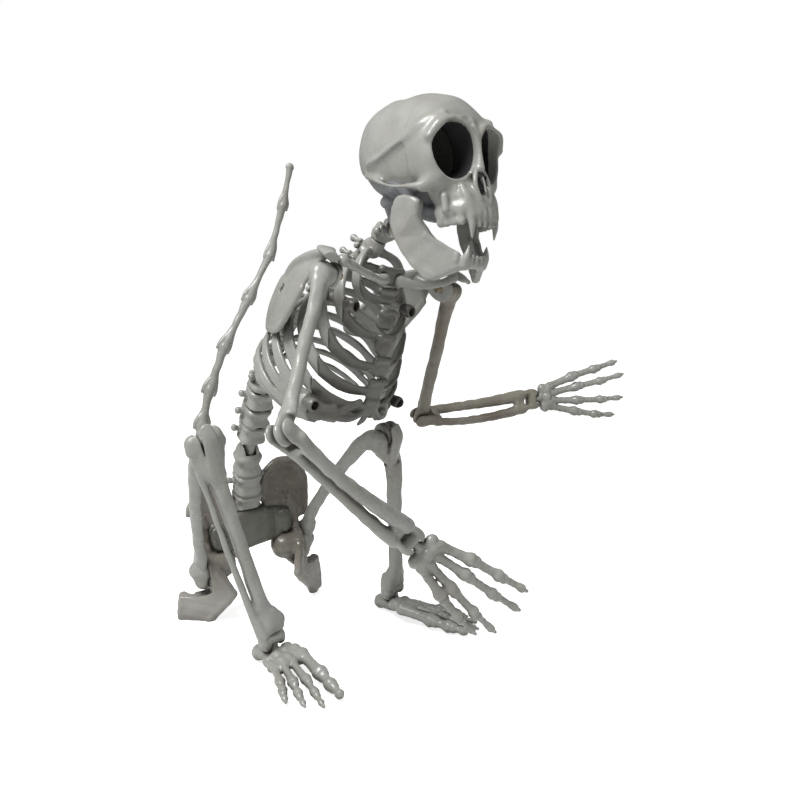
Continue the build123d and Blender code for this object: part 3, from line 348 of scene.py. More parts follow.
def bone_plastic(name, tone, wash_and_shade, wash_share=0.5, gloss=0.29, painted_lit_low_tone=None):
    """Grey moulded vinyl: cloudy colour, brown wash, painted shade that darkens the hollows by ambient occlusion,
    a painted light that can make low parts lighter, fine grain and dimples.
    """
    mat = bpy.data.materials.new(name)
    look = Nodes(mat)
    place = look.add("TexCoord", {}).outputs["Object"]

    def noise(size, detail, rough=0.55):
        values = {"Vector": place, "Scale": size, "Detail": detail, "Roughness": rough}
        return look.add("TexNoise", values).outputs["Fac"]

    def ramp(value, low, high, dark=0.0, light=1.0):
        values = {"Value": value, "From Min": low, "From Max": high, "To Min": dark, "To Max": light}
        return look.add("MapRange", values).outputs["Result"]

    def mixed(share, first, second):
        return look.add("Mix", {0: share, 6: first, 7: second}, data_type="RGBA").outputs[2]

    def bump(strength, distance, height, under):
        values = {"Strength": strength, "Distance": distance, "Height": height, **under}
        return {"Normal": look.add("Bump", values).outputs["Normal"]}

    base = mixed(ramp(noise(55, 4), 0.3, 0.7), colour(tone), colour(tone, 1.12))
    base = mixed(ramp(noise(22, 3, 0.6), 0.42, 0.72, 0, wash_share), base, colour(wash_and_shade))
    # painted light: below a set height the colour turns to the lighter low tone, as if the low parts were lit more
    if painted_lit_low_tone:
        height = look.add("SeparateXYZ", {"Vector": place}).outputs["Z"]
        base = mixed(ramp(height, 0.02, 0.055), colour(painted_lit_low_tone), base)
    base = mixed(ramp(noise(900, 2, 0.7), 0.62, 0.8, 0, 0.28), base, colour(tone, 0.72))
    # painted shade: ambient occlusion darkens hollows and recesses towards a dark tint of the wash colour
    hollow = look.add("AmbientOcclusion", {"Distance": 0.018}, samples=6).outputs["AO"]
    base = mixed(ramp(hollow, 0.15, 0.85, 0.82, 0), base, colour(wash_and_shade, 0.36))
    fine = bump(0.22, 0.0004, noise(420, 3, 0.6), {})
    broad = bump(0.27, 0.0011, noise(95, 3, 0.5), fine)
    rough = ramp(noise(120, 4, 0.6), 0.3, 0.7, gloss - 0.07, gloss + 0.1)
    look.fill(look.tree.nodes["Principled BSDF"],
              {"Base Color": base, "Roughness": rough, "Specular IOR Level": 0.5, **broad})
    return mat


def screw_metal(name, tone, rough):
    """Plated screw or pin: tarnish and a fine grain over metal."""
    mat = bpy.data.materials.new(name)
    look = Nodes(mat)
    place = look.add("TexCoord", {}).outputs["Object"]
    grain = look.add("TexNoise", {"Vector": place, "Scale": 700, "Detail": 3}).outputs["Fac"]
    ramp = look.add("ValToRGB", {"Fac": grain})
    for stop, position, share in zip(ramp.color_ramp.elements, (0.35, 0.6), (0.5, 1)):
        stop.position, stop.color = position, colour(tone, share)
    bump = look.add("Bump", {"Strength": 0.2, "Distance": 0.0002, "Height": grain})
    look.fill(look.tree.nodes["Principled BSDF"],
              {"Metallic": 0.9, "Roughness": rough, "Base Color": ramp.outputs["Color"],
               "Normal": bump.outputs["Normal"]})
    return mat


GREY, BROWN = (0.255, 0.259, 0.242), (0.165, 0.143, 0.113)
BONE = bone_plastic("bone_grey", GREY, BROWN, 0.35)
BONE_SHADE = bone_plastic("bone_shaded", (0.17, 0.18, 0.195), (0.12, 0.115, 0.11), 0.4, 0.36)
# painted shade: a very dark copy of the bone colour for the ribcage's breast, standing in for the shade over the
# chest
CHEST_PAINTED_SHADE = bone_plastic("bone_chest", (0.105, 0.105, 0.094), (0.07, 0.061, 0.05), 0.45, 0.34)
ARM = bone_plastic("bone_brown", (0.2, 0.187, 0.155), (0.1, 0.075, 0.052), 0.9, 0.3)
SACRUM = bone_plastic("bone_dark", (0.085, 0.087, 0.072), (0.06, 0.053, 0.042), 0.5, 0.3)
# painted shade and light: a dark tone stands in for the shade on the hip bones' wings, a lighter tone low down for
# the light on the sitting pads
PELVIS_PAINTED_SHADE_AND_LIGHT = bone_plastic("bone_pelvis", (0.155, 0.143, 0.122), (0.085, 0.07, 0.053), 0.6, 0.24,
                           painted_lit_low_tone=(0.26, 0.25, 0.23))
# painted shade: near-black, standing in for the deep shadow inside the eye sockets and the nose opening
SOCKET_PAINTED_SHADE = bone_plastic("bone_socket", (0.012, 0.012, 0.013), (0.02, 0.018, 0.016), 0.3, 0.6)
PINS = screw_metal("pin_metal", (0.45, 0.38, 0.25), 0.38)
slots = {s["node"]: s["material_slot"] for s in frame["record"]["subparts"]}
for node, thing in frame["nodes"].items():
    thing.data.materials.clear()
    thing.data.materials.append(PINS if slots[node] == "screw_steel" else BONE)


# ---- skull -----------------------------------------------------------------------------------
EYE = (17.9, 42.4)         # sideways place and height of an eye socket's middle
EYE_HALF = (16.2, 19.4)    # half width and half height of its mouth


def face_front(x):
    """How far forward the face stands at a sideways place."""
    return 68.5 - 0.0142 * x * x


def eye_cone(side):
    """Start, end, start radius and end radius of the hollow of an eye socket."""
    return (side * 15.5, 30, EYE[1]), (side * 19.4, 74, EYE[1]), 14.5, 20.6


def painted_shade_in_eye(points):
    """Whether each point lies on the inside of an eye socket or of the nose opening; these faces get the
    near-black painted shade.
    """
    inside = (np.abs(points[:, 0]) < 5) & (points[:, 2] > 13) & (points[:, 2] < 26) & (points[:, 1] < 73)
    inside &= points[:, 1] > 60
    for side in SIDES:
        a, b, ra, rb = eye_cone(side)
        share = np.clip((points[:, 1] - a[1]) / (b[1] - a[1]), 0, 1)
        x = (points[:, 0] - a[0] - share * (b[0] - a[0])) * 1.16
        z = points[:, 2] - EYE[1]
        near = np.hypot(x, z) < (ra + share * (rb - ra)) * 1.04 + 0.3
        inside |= near & (points[:, 1] < face_front(points[:, 0]) - 1.2) & (points[:, 1] > 20)
    return inside


def shape_cranium():
    """Braincase, brow, muzzle, cheek arches, eye sockets and upper teeth, hollow inside."""
    clay = Clay(SKULL, (-50, -54, -26), (50, 86, 100), COARSE)
    clay.tunnel(1, [(-42, 54.5, 0, 5, 3.5), (-39.5, 54.5, 0, 12, 7.5), (-35.5, 54.5, 0, 20, 12.5),
                    (-25, 53, 0, 30.5, 20.5), (-9, 50.5, 0, 38.6, 29), (14, 49, 0, 41, 34),
                    (34, 47.4, 0, 41.4, 35.4), (50, 44.5, 0, 39, 35), (58, 41.5, 0, 34, 31.5),
                    (63, 40, 0, 28, 24)], blend=0)
    clay.tunnel(1, [
        (38, 46, 0, 31, 35), (50, 44, 0, 32.5, 37.5), (57, 43, 0, 29, 37), (62, 42, 0, 24.5, 32.5),
        (66, 41, 0, 18, 24),
    ], blend=7, power=2.5)
    clay.tunnel(1, [
        (44, 14, 0, 14.5, 27), (54, 12.5, 0, 15, 24.4), (62, 11, 0, 15, 21), (68, 9, 0, 14, 17.5),
        (72.5, 6, 0, 12, 14.5), (75.5, 2.5, 0, 9, 11), (77.6, -0.5, 0, 5, 7.5),
    ], blend=6)
    for side in SIDES:
        clay.rod(mirror(side, [(28, 57, 23), (34, 49, 18.5), (37.4, 38, 18.5), (37, 22, 20.5),
                               (32, 4, 27.5), (22, -16, 34)]), [4.2, 3.6, 2.6, 2.2, 1.8, 1.2], blend=6,
                 curve=4)
        clay.rod(mirror(side, [(22, 64.5, 60.5), (31, 62, 58), (37, 58.5, 50)]), [2.6, 4.2, 3.0], blend=4,
                 curve=4)
        clay.rod(mirror(side, [(24, 60, 67), (34, 50, 60), (37.4, 36, 53), (36.6, 20, 47.5), (34, 6, 43.5),
                               (29, -10, 42)]), [2.4, 1.5, 1.1, 0.9, 0.7, 0.4], blend=6, curve=4)
        clay.ball((side * 51, 22, 36), (12, 24, 11), blend=9, carve=True)
        clay.ball((side * 44, 12, 66), (11, 20, 12), blend=7, carve=True, turn=[(1, side * 24)])
        turns = np.linspace(0, 2 * math.pi, 25)
        x, z = side * (EYE[0] + EYE_HALF[0] * np.cos(turns)), EYE[1] + EYE_HALF[1] * np.sin(turns)
        rim = np.column_stack([x, face_front(x) - 1.2, z])
        clay.rod(rim, 2.3 + 1.2 * np.sin(turns) - 0.4 * np.cos(turns), blend=4)
    clay.rod([(0, 64, 63), (0, 69, 48), (0, 71.5, 31)], [2.4, 1.9, 3.0], blend=4, curve=4)
    for side in SIDES:
        clay.rod(mirror(side, [(5, 71, 29), (7.4, 73, 19), (5, 75.6, 9)]), [1.6, 1.7, 1.5], blend=3,
                 curve=4)
        clay.rod(mirror(side, [(15, 67.5, 18), (13.6, 71.5, 9), (12.2, 73.8, -2)]), [1.6, 2.6, 2.8],
                 blend=4, curve=4)
        clay.rod(mirror(side, [(25, 60, 11), (24.5, 61, 2)]), [2.2, 2.6], blend=4)
        start, end, narrow, wide = eye_cone(side)
        clay.rod([start, end], [narrow, wide], blend=2.2, carve=True, flat=((1, 0, 0), 1.16))
    clay.rod([(0, 77, 24), (0, 79, 16)], [1.6, 4.4], carve=True, flat=((0, 1, 0), 0.5))
    clay.rod([(0, 73.6, 24.5), (0, 76, 14.5)], [0.7, 1.0], blend=1.2)
    # hollow inside, and the slanting lower rim
    clay.tunnel(1, [
        (-38.5, 54, 0, 8, 3.5), (-33.5, 53, 0, 19, 8.5), (-24, 52, 0, 28.5, 17), (-9, 50.5, 0, 35.2, 25.4),
        (14, 49, 0, 37.6, 30), (30, 48, 0, 37.8, 31), (44, 46, 0, 35, 31), (49, 45, 0, 29, 26),
    ], blend=1, carve=True)
    clay.plate(0, [(-90, 60), (-60, 50), (-42, 43), (0, 27), (24, 20), (46, 16.5), (48, 8), (50.5, -3),
                   (56, -9), (70, -10.5), (90, -11), (90, -60), (-90, -60)], 0, 90, blend=2.5, carve=True,
               soft=0.5)
    clay.tunnel(1, [(42, 3, 0, 11, 18), (58, 0, 0, 10, 14.5), (67, -3, 0, 7, 10), (71, -6, 0, 3, 6)],
                blend=2.5, carve=True)
    for side in SIDES:
        # teeth: a long canine, two incisors and low cheek teeth on each side
        clay.rod(mirror(side, [(12, 72.6, 0), (12.3, 73.8, -8), (11.8, 73, -17)]), [2.8, 2.4, 0.7],
                 blend=1.4, curve=4)
        for x, y, low, size in ((2.6, 76.6, -10.4, 2.3), (7.3, 75.6, -10.0, 2.2)):
            clay.rod(mirror(side, [(x, y - 0.6, -3), (x, y, low + size)]), [2.4, size * 0.86], blend=0.9)
        clay.rod(mirror(side, [(21, 53, 1), (19, 60, 2), (15.6, 67.5, 3)]), [4.8, 4.8, 4.6], blend=3,
                 curve=4, flat=((1, 0, 0), 1.35))
        for x, y in ((16.4, 68), (18.6, 63.4), (20.2, 58.6), (21.4, 53.8)):
            clay.ball((side * x, y, -5.4), (2.5, 3.0, 3.4), blend=2.4)
        for x, y, z in ((3, 76.8, -1), (7.7, 75.4, -0.5), (17, 68, 1), (20.6, 62.4, 0), (22.8, 56.6, -1)):
            clay.ball((side * x, y, z), (2, 2, 4), blend=2.4)
    clay.roughen(19, 0.3, 3)
    # the second, near-black material is painted shade inside the eye sockets and the nose opening
    clay.mesh("skull_shell", "head", ["cranium"], BONE, second=(SOCKET_PAINTED_SHADE, painted_shade_in_eye))


def shape_skull_base():
    """The darker underside, with the fork for the neck and the cheeks for the jaw."""
    clay = Clay(SKULL, (-38, -50, -20), (38, 70, 52), COARSE)
    clay.tunnel(1, [(-39, 48, 0, 6, 5), (-28, 43, 0, 13, 13), (-12, 36, 0, 16, 22), (8, 29, 0, 15, 27.5),
                    (28, 22, 0, 12, 29), (44, 19, 0, 8, 27)], blend=0)
    clay.tunnel(1, [(24, 9, 0, 9, 16), (44, 5, 0, 9, 14), (56, 1.5, 0, 6, 11), (61, 0, 0, 3, 8)], blend=4)
    nod = SKULL.to_local(hinge["head_nod"][0])
    clay.rod([nod + (0, 0, 16), nod + (0, 1, 3), nod], [12, 9, 7.6], blend=4)
    for side in SIDES:
        clay.rod(mirror(side, [(19, 26, 26), (23, 27, 14), (27.6, 28, 7)]), [6, 5, 3.4], blend=3,
                 flat=((1, 0, 0), 1.2))
        clay.ball((side * 15, -2, 16), (5, 8, 5), blend=4)
    clay.plate(0, [(-16, -30), (12, -30), (10, 4), (2, 8.5), (-12, 8.5)], 0, 4.7, blend=0.4, carve=True,
               soft=0.3)
    clay.rod([nod - (16, 0, 0), nod - (8.8, 0, 0)], 4.2, blend=0.5, carve=True)
    clay.rod([nod + (8.8, 0, 0), nod + (16, 0, 0)], 4.2, blend=0.5, carve=True)
    clay.roughen(12, 0.35, 5)
    clay.mesh("skull_underside", "head", ["skull_base"], BONE_SHADE)


def jaw_bow(y, z):
    """Sideways place of the jaw's arms, drawn in to the chin, most of all low down, and its steepness."""
    low = np.clip(-z / 14, 0, 1)
    span = 30 + 12 * low
    turn = np.clip((y - (70 - span)) / span, 0, 0.995)
    x = 33.0 * (1 - turn ** 1.25) ** 0.9 + 1.5
    slope = 33.0 * 0.9 * 1.25 * turn ** 0.25 * np.maximum(1 - turn ** 1.25, 1e-3) ** -0.1 / span
    return x, np.sqrt(1 + slope ** 2)


def shape_jaw():
    """Two tall arms that draw in to the chin, with canines and incisors."""
    clay = Clay(SKULL, (-40, 12, -56), (40, 80, 20), FINE + 0.15)
    profile = [(24, 11), (30, 14.5), (38, 13), (45.4, 9.5), (44, -3), (47, -13), (55, -24.5), (63, -28.5),
               (67.5, -30), (66, -34), (60, -38), (52, -42.5), (44, -44), (36.5, -35), (27.5, -21),
               (21, -5)]

    def half(y, z):
        """Half the wall's thickness measured sideways: more where the arm runs steeply inwards."""
        return (2.4 + 0.8 * np.clip((y - 40) / 25, 0, 1)) * np.minimum(jaw_bow(y, z)[1], 3.0)

    for side in SIDES:
        def middle(y, z):
            return side * (jaw_bow(y, z)[0] + 0.02 * (z + 20))

        clay.plate(0, profile, middle, half, blend=3, soft=1.6, curve=3)
        clay.rod(mirror(side, [(35.2, 22, 6), (35.4, 21.8, -6), (34, 28, -20), (30.5, 36.5, -33),
                               (22.5, 48, -41.5)]), [1.4, 1.6, 1.4, 1.5, 2.0], blend=2.5, curve=4)
        clay.rod(mirror(side, [(34.5, 29, 13), (34.6, 37, 11.6), (34.5, 44, 8)]), [1.5, 1.8, 1.5],
                 blend=2.5, curve=4)
        clay.rod(mirror(side, [(27.5, 45, -14), (19.5, 53.5, -21.5), (13, 60.5, -28)]), [1.6, 2.0, 2.3],
                 blend=2.5, curve=4)
        clay.rod(mirror(side, [(9.6, 63.5, -34), (10, 66.5, -29), (9.4, 68.5, -21.5)]), [3.6, 2.7, 0.5],
                 blend=1.6, curve=4)
        clay.rod(mirror(side, [(14, 60.5, -31), (14, 61.5, -27)]), [2.4, 1.2], blend=1.4)
        clay.rod(mirror(side, [(6.2, 66.4, -34), (6.0, 68.6, -28.6)]), [2.0, 1.2], blend=1.0)
        clay.rod(mirror(side, [(2.2, 67.4, -34), (2.2, 69.4, -29.2)]), [2.0, 1.3], blend=1.0)
    clay.rod([(-6, 63, -33.5), (6, 63, -33.5)], 3.2, blend=4)
    clay.roughen(14, 0.3, 7)
    clay.mesh("lower_jaw", "jaw", ["jaw"], BONE)


# ---- ribcage ---------------------------------------------------------------------------------
# each pair: height at the back, half width, half the gap in front, drop to the front, half height
RIBS = [(12, 28, 0, 28, 3.6), (-3, 39, 0, 36, 4.2), (-18, 48, 0, 42, 4.6), (-33, 55, 0, 45, 4.6),
        (-48, 60, 0, 42, 4.4), (-63, 63, 8, 34, 3.8), (-77, 65, 24, 25, 3.2), (-91, 65, 38, 15, 2.7),
        (-101, 62, 48, 5.5, 2.3), (-110, 56, 56, 0, 2.0)]
SEAM_SLOPE, SEAM_START = 0.28, 8.0    # the seam's lean, and how far forward it lies at height 0
BOSSES = [(34, 14.2, -22), (-34, 14.2, -22), (51, 34.6, -95), (-51, 34.6, -95)]    # screws on the seam


def spine_depth(z):
    """How far forward the row of back bones lies at a height of the ribcage."""
    return np.interp(z, [-160, -110, -80, -45, -10, 20, 30], [-51, -52, -49, -38, -20, -10, -10])


def sternum_depth(z):
    """How far forward the breastbone lies at a height of the ribcage."""
    return np.interp(z, [-160, -115, -90, -65, -43, -20, -6, 20], [42, 53, 53, 46, 37, 23, 14, 8])


def add_hoop(clay, back_z, half_width, opening, drop, high, thick=1.75):
    """One rib pair: a flat band round a sloping oval, drooping a little at the sides."""
    back = np.array([0, spine_depth(back_z), back_z])
    front = np.array([0, sternum_depth(back_z - drop), back_z - drop])
    middle, ahead = (back + front) / 2, unit(front - back)
    deep = np.linalg.norm(front - back) / 2
    up = np.array([0, -ahead[2], ahead[1]])
    reach = np.array([half_width + 7, deep * abs(ahead[1]) + 9, deep * abs(ahead[2]) + 12])
    cut, x, y, z = clay.window(middle - reach, middle + reach)
    if clay.field[cut].size == 0:
        return
    s = (y - middle[1]) * ahead[1] + (z - middle[2]) * ahead[2]
    turn = np.arctan2(s / deep, np.abs(x) / half_width)
    droop = 3.6 * np.sin(2 * turn) * np.clip(np.abs(x) / 20, 0, 1)
    t = (y - middle[1]) * up[1] + (z - middle[2]) * up[2] + droop
    k0 = np.sqrt((x / half_width) ** 2 + (s / deep) ** 2) + 1e-6
    k1 = np.sqrt((x / half_width ** 2) ** 2 + (s / deep ** 2) ** 2) + 1e-6
    out = k0 * (k0 - 1) / k1 + thick
    tall = high * (1 + 0.16 * np.cos(2 * turn) + 0.22 * np.clip(turn, 0, 1))
    a, b = np.abs(out) - thick + 1.3, np.abs(t) - tall + 1.3
    band = np.sqrt(np.maximum(a, 0) ** 2 + np.maximum(b, 0) ** 2) + np.minimum(np.maximum(a, b), 0) - 1.3
    if opening:
        band = np.maximum(band, np.where(s > 0, opening - np.abs(x), -FAR))
    clay.mix(cut, band.astype(np.float32), 1.6, False)


def vertebra(clay, place, size, blade, wing=9.0, along=(0, 0, 1), back=(0, -1, 0)):
    """A knobby back bone: body, blade pointing backwards and down, and a pair of side wings."""
    place, along, back = np.asarray(place, float), unit(along), unit(back)
    side = unit(np.cross(along, back))
    clay.rod([place - along * size * 0.42, place + along * size * 0.42], size * 0.62)
    clay.rod([place - along * size * 0.5, place - along * size * 0.3], [size * 0.74, size * 0.7], blend=1.2)
    clay.rod([place + along * size * 0.3, place + along * size * 0.5], [size * 0.7, size * 0.74], blend=1.2)
    tip = place + back * (size * 0.6 + blade) - along * blade * 0.45
    clay.rod([place, place + back * size * 0.7, tip], [2.6, 2.2, 1.9], blend=1.6)
    clay.ball(tip, (2.3, 2.6, 2.9), blend=1.5)
    for way in SIDES:
        end = place + side * way * wing + back * 2.5
        clay.rod([place, end], [2.6, 1.9], blend=1.6)
        clay.ball(end, (2.4, 2.4, 2.8), blend=1.4)
        knob = place + side * way * size * 0.62 + back * (size * 0.8) + along * 2
        clay.ball(knob, 2.1, blend=1.5)


def seam_field(clay):
    """Distance in front of the slanting seam between the two shells."""
    return clay.along((0, 1, SEAM_SLOPE), (0, SEAM_START, 0)) / math.hypot(1, SEAM_SLOPE)


def shape_ribs(front):
    """The breast or the back shell of the ribcage, with its back bones or breastbone."""
    clay = Clay(TORSO, (-74, -6 if front else -76, -152), (74, 64, 36), COARSE)
    for rib in RIBS:
        add_hoop(clay, *rib)
    slope = unit((0, 1, SEAM_SLOPE))
    for place in map(np.array, BOSSES):
        clay.rod([place - slope * 15, place + slope * 6.6], [4.4, 4.6], blend=2.2)
        clay.rod([place + slope * 5.4, place + slope * 6.6], [5.2, 5.2], blend=0.8)
    if front:
        # gristle from the lower ribs gathered into one margin under the breastbone
        for side in SIDES:
            clay.rod(mirror(side, [(3, 53.4, -90), (14, 53.2, -97), (26, 49.5, -99.5), (40, 41, -102),
                                   (52, 28, -104), (58, 18, -106)]), [3.4, 3.4, 3.2, 3.1, 2.9, 2.4],
                     blend=3, curve=4, flat=((0, 1, 0.2), 1.25))
            clay.rod(mirror(side, [(15, 52.5, -84), (24, 49.5, -92), (34, 44, -99)]), [2.6, 2.6, 2.4],
                     blend=2.5, curve=4)
            clay.rod(mirror(side, [(32, 46, -92), (42, 39, -98), (51, 29, -102)]), 2.4, blend=2.5, curve=4)
        clay.keep(-seam_field(clay) + 0.12)
        for place in map(np.array, BOSSES):
            clay.rod([place + slope * 3.2, place + slope * 12], [3.3, 3.6], blend=0.5, carve=True)
        plates = [(2, 11.5, 6.0), (-12, 8.6, 5.6), (-27, 6.4, 7.0), (-43, 6.9, 7.0), (-59, 7.2, 7.0),
                  (-75, 7.0, 7.0), (-89, 5.4, 5.6)]
        for z, wide, tall in plates:
            y = float(sternum_depth(z))
            lean = float(sternum_depth(z - 4) - sternum_depth(z + 4)) / 8
            clay.rod([(-wide * 0.45, y + 0.4, z), (wide * 0.45, y + 0.4, z)], tall, blend=1.6,
                     flat=((0, 1, lean), tall / 3.0))
            clay.rod([(-wide, y, z + tall), (wide, y, z + tall)], 2.3, blend=2.2)
            for side in SIDES:
                clay.ball((side * wide, y, z + tall), (2.7, 2.6, 2.7), blend=1.6)
        clay.rod([(0, 52.6, -94), (0, 52.6, -100), (0, 51, -106)], [3.4, 2.6, 1.8], blend=2.5, curve=4,
                 flat=((0, 1, 0), 1.5))
        clay.roughen(13, 0.35, 12)
        # dark material: painted shade over the breast of the ribcage
        clay.mesh("ribcage_breast", "torso", ["ribcage_front"], CHEST_PAINTED_SHADE)
        return
    clay.keep(seam_field(clay) + 0.12)
    heights = np.arange(-136, 22, 13.2)    # one back bone every 13.2
    for z in heights:
        y = float(spine_depth(z)) - 4
        lean = float(spine_depth(z + 4) - spine_depth(z - 4)) / 8
        vertebra(clay, (0, y, z), 8.2, 7.5 if z < -40 else 11, wing=10.5, along=(0, lean, 1),
                 back=(0, -1, lean))
    clay.rod([(0, float(spine_depth(z)) - 4, z) for z in heights], 4.8)
    for rib in RIBS:
        for side in SIDES:
            clay.ball((side * 11, float(spine_depth(rib[0])) + 0.4, rib[0] - 1), (3.4, 3.0, 3.4), blend=2.4)
    pivot = TORSO.to_local(hinge["head_turn"][0])
    clay.rod([(pivot[0], pivot[1], 12), (pivot[0], pivot[1], 20.2)], [7.0, 6.4])
    clay.plate(2, [(-14, -30), (14, -30), (14, 10), (-14, 10)], 30, 9.8, blend=0, carve=True, soft=0.1)
    clay.plate(2, [(-16, -80), (16, -80), (16, -20), (-16, -20)], -150, 9.0, blend=0, carve=True, soft=0.1)
    clay.roughen(13, 0.35, 11)
    clay.mesh("ribcage_spine", "torso", ["ribcage_back"], BONE)


# ---- shoulder girdle -------------------------------------------------------------------------
def moved(points, start, end):
    """Points of one place given in another."""
    return end.to_local(start.to_row(points))


def shape_scapula(side, name):
    """A thin shoulder blade with a ridge, a roof over the shoulder and a socket."""
    outward, front, up = TORSO.rows[0] * side, TORSO.rows[1], TORSO.rows[2]
    blade = Place(TORSO.to_row((side * 58, -22, -30)), up, outward * 0.88 - front * 0.47)
    turn = 1 if blade.rows[1] @ front > 0 else -1

    def dish(x, y):
        """Height of the blade's hollow face."""
        return 3.5 - 0.0035 * (x ** 2 + (y - 6 * turn) ** 2)

    clay = Clay(blade, (-56, -46, -14), (64, 56, 44), MEDIUM)
    outline = [(46, 30), (38, 19), (30, 10), (20, -3), (12, -9), (0, -9), (-16, -13), (-36, -19),
               (-43, -15), (-38, 2), (-29, 18), (-10, 26), (10, 29), (30, 29), (42, 33)]
    outline = [(x, turn * y) for x, y in outline]
    clay.plate(2, outline, dish, 1.5, soft=1.2, curve=3)
    clay.rod([(x, y, dish(x, y) - 0.1) for x, y in outline[5:13]], 2.0, blend=2.5, curve=4)
    rise = blade.rows @ up
    ridge = moved(mirror(side, [(61, -26, -22), (64, -18, -8), (70, 2, 9), (76, 16, 14.6), (86, 23, 13)]),
                  TORSO, blade)
    clay.rod(ridge, [1.6, 3.0, 3.8, 3.6, 2.6], blend=3.5, curve=5, flat=(rise, 1.25))
    cap = moved(mirror(side, [(74, 8, 13.4), (78, 20, 14.2)]), TORSO, blade)
    clay.rod(cap, [6.4, 5.4], blend=3, flat=(rise, 2.4))
    socket = moved(mirror(side, [(58, SHOULDER_Y, 0), (66, SHOULDER_Y, 0)]), TORSO, blade)
    clay.rod(socket, [7.6, 9.2], blend=2.5)
    neck = moved(mirror(side, [(60, -2, -3), (62, 10, -1), (62, SHOULDER_Y, 0)]), TORSO, blade)
    clay.rod(neck, [5, 5.4, 6], blend=3)
    clay.rod([(-3, turn * 1.5, -10), (-3, turn * 1.5, 12)], 2.4, blend=0.8, carve=True)
    clay.rod([(-7, turn * -0.5, -10), (-7, turn * -0.5, 12)], 2.2, blend=0.8, carve=True)
    # clears the upper arm's head
    shoulder = moved([(side * 69.55, SHOULDER_Y, 0)], TORSO, blade)[0]
    past, radial = clay.about(shoulder, blade.rows @ outward)
    clay.keep(-np.maximum(radial - 9.6, -past), 0.6)
    clay.roughen(15, 0.3, 21)
    clay.mesh(name, "torso", [name.replace("_blade", "")], BONE)


def shape_clavicle(side, name):
    """A curved bar from the breastbone to the shoulder blade."""
    clay = Clay(TORSO, (-76, 2, -12), (76, 40, 32), MEDIUM)
    clay.rod(mirror(side, [(8.5, 15.6, 1.6), (14, 20, 3.4), (25, 24.5, 5), (42, 26, 8.4), (57, 23.5, 11.6),
                           (68, 20.5, 13.6)]), [4.2, 3.8, 3.3, 3.1, 3.2, 3.6], blend=1, curve=6,
             flat=((0, 0.3, 1), 1.12))
    clay.ball((side * 9, 16, 1.8), (4.6, 4.2, 4.8))
    clay.ball((side * 67, 20, 14), (4.4, 4.4, 3.2))
    clay.roughen(11, 0.3, 23)
    clay.mesh(name, "torso", [name.replace("_bar", "")], BONE)


# ---- arms ------------------------------------------------------------------------------------
HAND_BEND = math.radians(-18)


def hand_reach(reach, hand_side):
    """The forearm's direction turned about the wrist to the direction of the hand."""
    return reach * math.cos(HAND_BEND) + np.cross(hand_side, reach) * math.sin(HAND_BEND)


def shape_humerus(side, name, body):
    """Upper arm: round head, slim shaft and the elbow's tongue."""
    shoulder = hinge[body.replace("upper_arm", "shoulder_swing")][0]
    elbow, axis = hinge[body.replace("upper_arm", "elbow_bend")]
    outward = TORSO.rows[0] * side
    head = shoulder + outward * 1.0
    place = Place(head, axis, elbow - head)
    long = float(np.linalg.norm(elbow - head))
    clay = Clay(place, (-16, -16, -16), (16, 16, long + 14), MEDIUM)
    stout = 1.0 if side > 0 else 1.18
    clay.tunnel(2, [
        (-3, 0, 0, 4.8, 5.2), (6, 0, 0, 6.2, 6.6), (14, 0, 0, 5.0 * stout, 5.4 * stout),
        (30, 0.3, 0, 4.4 * stout, 4.8 * stout), (long * 0.5, 0, 0.4, 4.3 * stout, 4.6 * stout),
        (long - 30, 0, 0, 4.5 * stout, 4.6 * stout), (long - 20, 0, 0, 5.8 * stout, 4.2 * stout),
        (long - 14, 0, 0, 6.9, 4.6), (long - 11.5, 0, 0, 5.5, 4.6),
    ], blend=0)
    press = place.rows @ outward
    clay.rod([place.to_local(shoulder - outward * 3.6), place.to_local(shoulder + outward * 3.0)], 8.0,
             blend=2)
    clay.ball(place.to_local(shoulder + outward * 1.2) + (0, 0, 3), (7.2, 7.4, 7.4), blend=3)
    clay.rod([(0, 3.6, 8), (0.6, 4.2, 22), (0.4, 2.2, 38)], [2.2, 1.5, 0.8], blend=3, curve=4)
    clay.rod([(-0.01, 0, long - 6), (0.01, 0, long)], [7.6, 7.9], blend=2.2, flat=((1, 0, 0), 2.12))
    x, _, z = clay.xyz()
    clay.keep(np.where(z > long - 9, np.abs(x) - 3.75, -FAR), 0.6)
    # flat face beside the shoulder socket
    clay.keep(-7.15 - clay.along(press, place.to_local(shoulder)), 0.3)
    clay.roughen(12, 0.3, 31)
    clay.mesh(name, body, [name.replace("_bone", "")], ARM if side < 0 else BONE)


